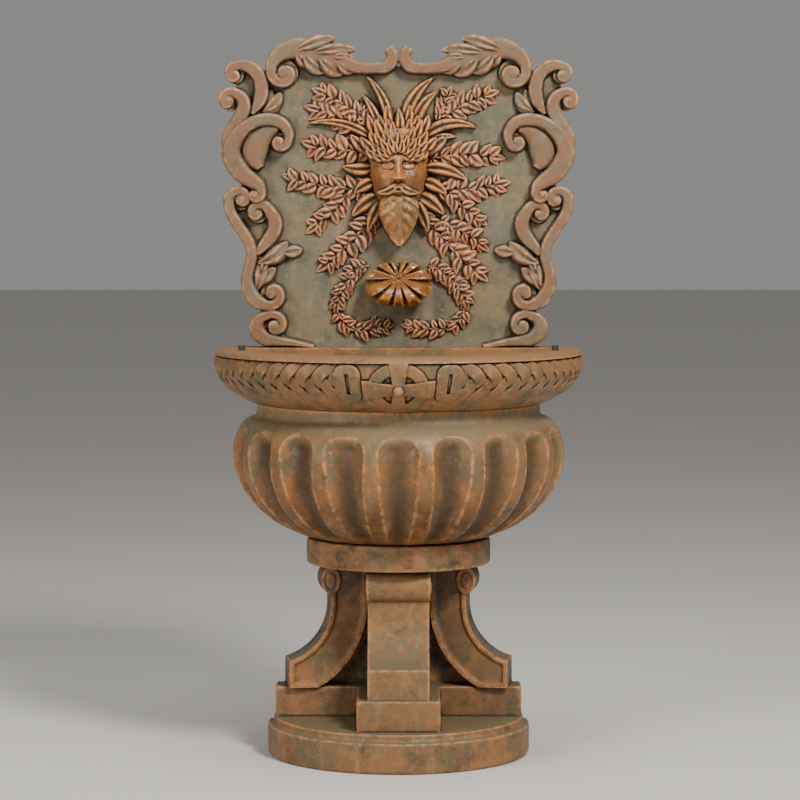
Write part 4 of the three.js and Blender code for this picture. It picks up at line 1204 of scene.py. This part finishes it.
def cast_grain():
    group, given, out = new_group("Cast grain", ("Vector",), "Height")
    vector = given["Vector"]
    grain, lumps = noise(group, vector, 420, 4, 0.7), noise(group, vector, 70, 4, 0.6)
    pits = ranged(group, noise(group, vector, 230, 2, 0.5), 0.66, 0.76, 0, 0.5)
    height = sums(group, "ADD", times(group, grain, 0.4), times(group, lumps, 0.6))
    feed(group, sums(group, "SUBTRACT", height, pits), out)
    return group


GRAIN_DEPTH = 1.5 * MM
GROUPS = {"ground": mottled_ground(), "wash_and_shade": hollow_wash_and_shade(), "copper": copper_rub(), "grain": cast_grain()}


# %% Patina material
def attribute(tree, name):
    return add_node(tree, "Attribute", {}, attribute_name=name)["Fac"]


def toned(tree, vector, color, tone, axis, low, high, amount):
    place = add_node(tree, "SeparateXYZ", {"Vector": vector})[axis]
    patches = ranged(tree, noise(tree, vector, 16, 6, 0.7), 0.38, 0.58, 0.2, 1)
    return mixed(tree, times(tree, ranged(tree, place, low, high, 0, amount), patches), color, srgb(tone))


def patina(name, codes, roughness, ridge_gain, hollow_gain, grain=0.25, coat=0.0, tones=()):
    material, tree, vector, shader = new_material(name)
    *ground, wash_and_shade, copper, settled = [srgb(code) for code in codes.split()]
    values = {"Vector": vector, **dict(zip(COLOUR_SLOTS, ground))}
    stone = add_node(tree, "Group", values, node_tree=GROUPS["ground"])["Color"]
    for tone in tones:
        stone = toned(tree, vector, stone, *tone)
    ragged = ranged(tree, noise(tree, vector, 18, 6, 0.7), 0.3, 0.6, 0.35, 0.9)
    stone = mixed(tree, times(tree, attribute(tree, "upward"), ragged), stone, settled)
    layers = ("copper", "ridge", ridge_gain, copper), ("wash_and_shade", "hollow", hollow_gain, wash_and_shade)
    for layer, measure, gain, tint in layers:
        level = times(tree, attribute(tree, measure), gain)
        values = {"Vector": vector, "Color": stone, "Tint": tint, "Level": level}
        stone = add_node(tree, "Group", values, node_tree=GROUPS[layer])["Color"]
    feed(tree, stone, shader["Base Color"])
    rough = ranged(tree, noise(tree, vector, 40, 4, 0.6), 0.3, 0.7, roughness - 0.14, roughness + 0.1)
    feed(tree, rough, shader["Roughness"])
    height = add_node(tree, "Group", {"Vector": vector}, node_tree=GROUPS["grain"])["Height"]
    bumps = {"Strength": grain, "Distance": GRAIN_DEPTH, "Height": height}
    feed(tree, add_node(tree, "Bump", bumps)["Normal"], shader["Normal"])
    for socket, value in (("Coat Weight", coat), ("Coat Roughness", 0.12), ("Specular IOR Level", 0.4)):
        shader[socket].default_value = value
    return material


def rubber(name):
    material, tree, vector, shader = new_material(name)
    color = mixed(tree, noise(tree, vector, 200), (0.012, 0.012, 0.012, 1), (0.03, 0.028, 0.025, 1))
    feed(tree, color, shader["Base Color"])
    feed(tree, ranged(tree, noise(tree, vector, 300), 0.3, 0.7, 0.45, 0.65), shader["Roughness"])
    return material


# %% Give each piece its finish
def dress(piece, material, node):
    piece.data.materials.clear()
    piece.data.materials.append(material)
    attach(piece, "root")
    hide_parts(node)


# Toned places: colour, axis, where the tone starts and is full, amount
# Painted shade: the parts of the pedestal deep towards the wall, such as the console sides and web, are
# darkened.
DEEP_SIDES_SHADE = ("38302a", "Y", AXIS_Y - 60 * MM, AXIS_Y - 10 * MM, 1.0)
# Painted shade: the bowl darkens towards its foot, under its belly.
UNDER_BELLY_SHADE = ("5c3818", "Z", 0.64, 0.52, 0.8)
# The shoulder under the basin is toned a lighter grey: partly the stone's own greyer tone, partly painted
# light against the basin's shade.
GREY_LIT_SHOULDER = ("84765a", "Z", 0.67, 0.75, 0.7)
CARVED_FRAME = ("80593e", "Y", PLATE_Y - 8 * MM, PLATE_Y - 22 * MM, 0.9)
# Colours of each finish: main, warm, cool, dark, pale, wash with painted shade, copper and settled dust; then
# its roughness and how strongly its ridges and hollows show
pedestal_finish = patina("pedestal_patina", "7e5b3a 98693f 62593f 3c2b1a a08560 201810 b07a4a 68624c",
                         0.6, 0.9, 0.8, tones=[DEEP_SIDES_SHADE])
bowl_finish = patina("bowl_patina", "7e5f3e 9a6434 665d44 42301a ac936e 382a18 c2854e 7b6f54",
                     0.52, 1.5, 0.8, tones=[UNDER_BELLY_SHADE, GREY_LIT_SHOULDER])
basin_finish = patina("basin_patina", "7e5c3c 946740 625a40 3e2d1a a0835c 16100a ac7846 84613c",
                      0.54, 0.7, 1.7)
panel_finish = patina("panel_patina", "6e6752 806e50 5d5e4e 4a4534 958770 2e2b22 b88a60 68644f",
                      0.62, 0.8, 1.25, tones=[CARVED_FRAME])
spray_finish = patina("foliage_patina", "80583e a4683e 5e5746 44321f b08a68 33291e d0946a 785c42",
                      0.54, 0.9, 1.1)
mask_finish = patina("mask_patina", "8a552c a86a36 66563a 402c1a b48a5a 20170d d09054 7d5a34",
                     0.44, 0.85, 1.35, coat=0.14)
shell_finish = patina("wet_shell", "784818 9a6224 563614 301c0b b8843c 050302 b4772f 7d501e",
                      0.3, 0.7, 1.5, grain=0.1, coat=0.6)
plug_finish = rubber("plug_rubber")
dress(pedestal, pedestal_finish, "pedestal")
dress(bowl, bowl_finish, "fluted_bowl")
dress(basin, basin_finish, "rim_basin")
dress(panel, panel_finish, "back_panel")
dress(sprays, spray_finish, "back_panel")
dress(mask, mask_finish, "back_panel")
dress(shell, shell_finish, "spill_shell")
for side, plug in plugs.items():
    dress(plug, plug_finish, "rim_plug_" + side)

# %% [markdown]
# ## Studio
#
# The fountain stands on a plain pale floor in soft light. The camera looks from its real distance and
# height with a long lens, tilted a little down, so the perspective is that of the photograph.

# %% Floor, lights and camera
CAMERA_DISTANCE = 6.6
CAMERA_HEIGHT = 1.244
CAMERA_ASIDE = 0.0033
CAMERA_DOWN = 4.05
LENS = 135.7
# Name, place, height of the point it faces on the axis, size, power and tint
LIGHTS = (
    ("key", (2.2, -3.6, 4.2), 0.9, 1.3, 330, (1, 0.96, 0.92)),
    ("fill", (-3.2, -3.2, 2.0), 0.8, 2.2, 90, (1, 0.95, 0.9)),
    ("top", (0, -0.6, 4.4), 1.0, 2.0, 60, (1, 1, 1)),
)


def add_floor():
    floor = primitive(bpy.ops.mesh.primitive_plane_add, size=60)
    floor.name = "studio_floor"
    material, tree, vector, shader = new_material("pale_floor")
    color = mixed(tree, noise(tree, vector, 3), (0.62, 0.60, 0.57, 1), (0.66, 0.64, 0.61, 1))
    feed(tree, color, shader["Base Color"])
    shader["Roughness"].default_value = 0.9
    floor.data.materials.append(material)


def area_light(name, place, target, size, power, tint):
    light = bpy.data.lights.new(name, "AREA")
    light.shape = "DISK"
    light.size = size
    light.energy = power
    light.color = tint
    lamp = bpy.data.objects.new(name, light)
    bpy.context.scene.collection.objects.link(lamp)
    lamp.location = place
    lamp.rotation_euler = (Vector((0, 0, target)) - Vector(place)).to_track_quat("-Z", "Y").to_euler()


def add_camera():
    camera = bpy.data.cameras.new("camera")
    camera.sensor_width = 36
    camera.lens = LENS
    camera.clip_end = 100
    eye = bpy.data.objects.new("camera", camera)
    bpy.context.scene.collection.objects.link(eye)
    eye.location = (CAMERA_ASIDE, AXIS_Y - CAMERA_DISTANCE, CAMERA_HEIGHT)
    eye.rotation_euler = (math.radians(90 - CAMERA_DOWN), 0, 0)
    bpy.context.scene.camera = eye


add_floor()
for values in LIGHTS:
    area_light(*values)
world = bpy.data.worlds.new("studio")
world.use_nodes = True
world.node_tree.nodes["Background"].inputs["Color"].default_value = (0.86, 0.85, 0.83, 1)
world.node_tree.nodes["Background"].inputs["Strength"].default_value = 0.31
bpy.context.scene.world = world
add_camera()
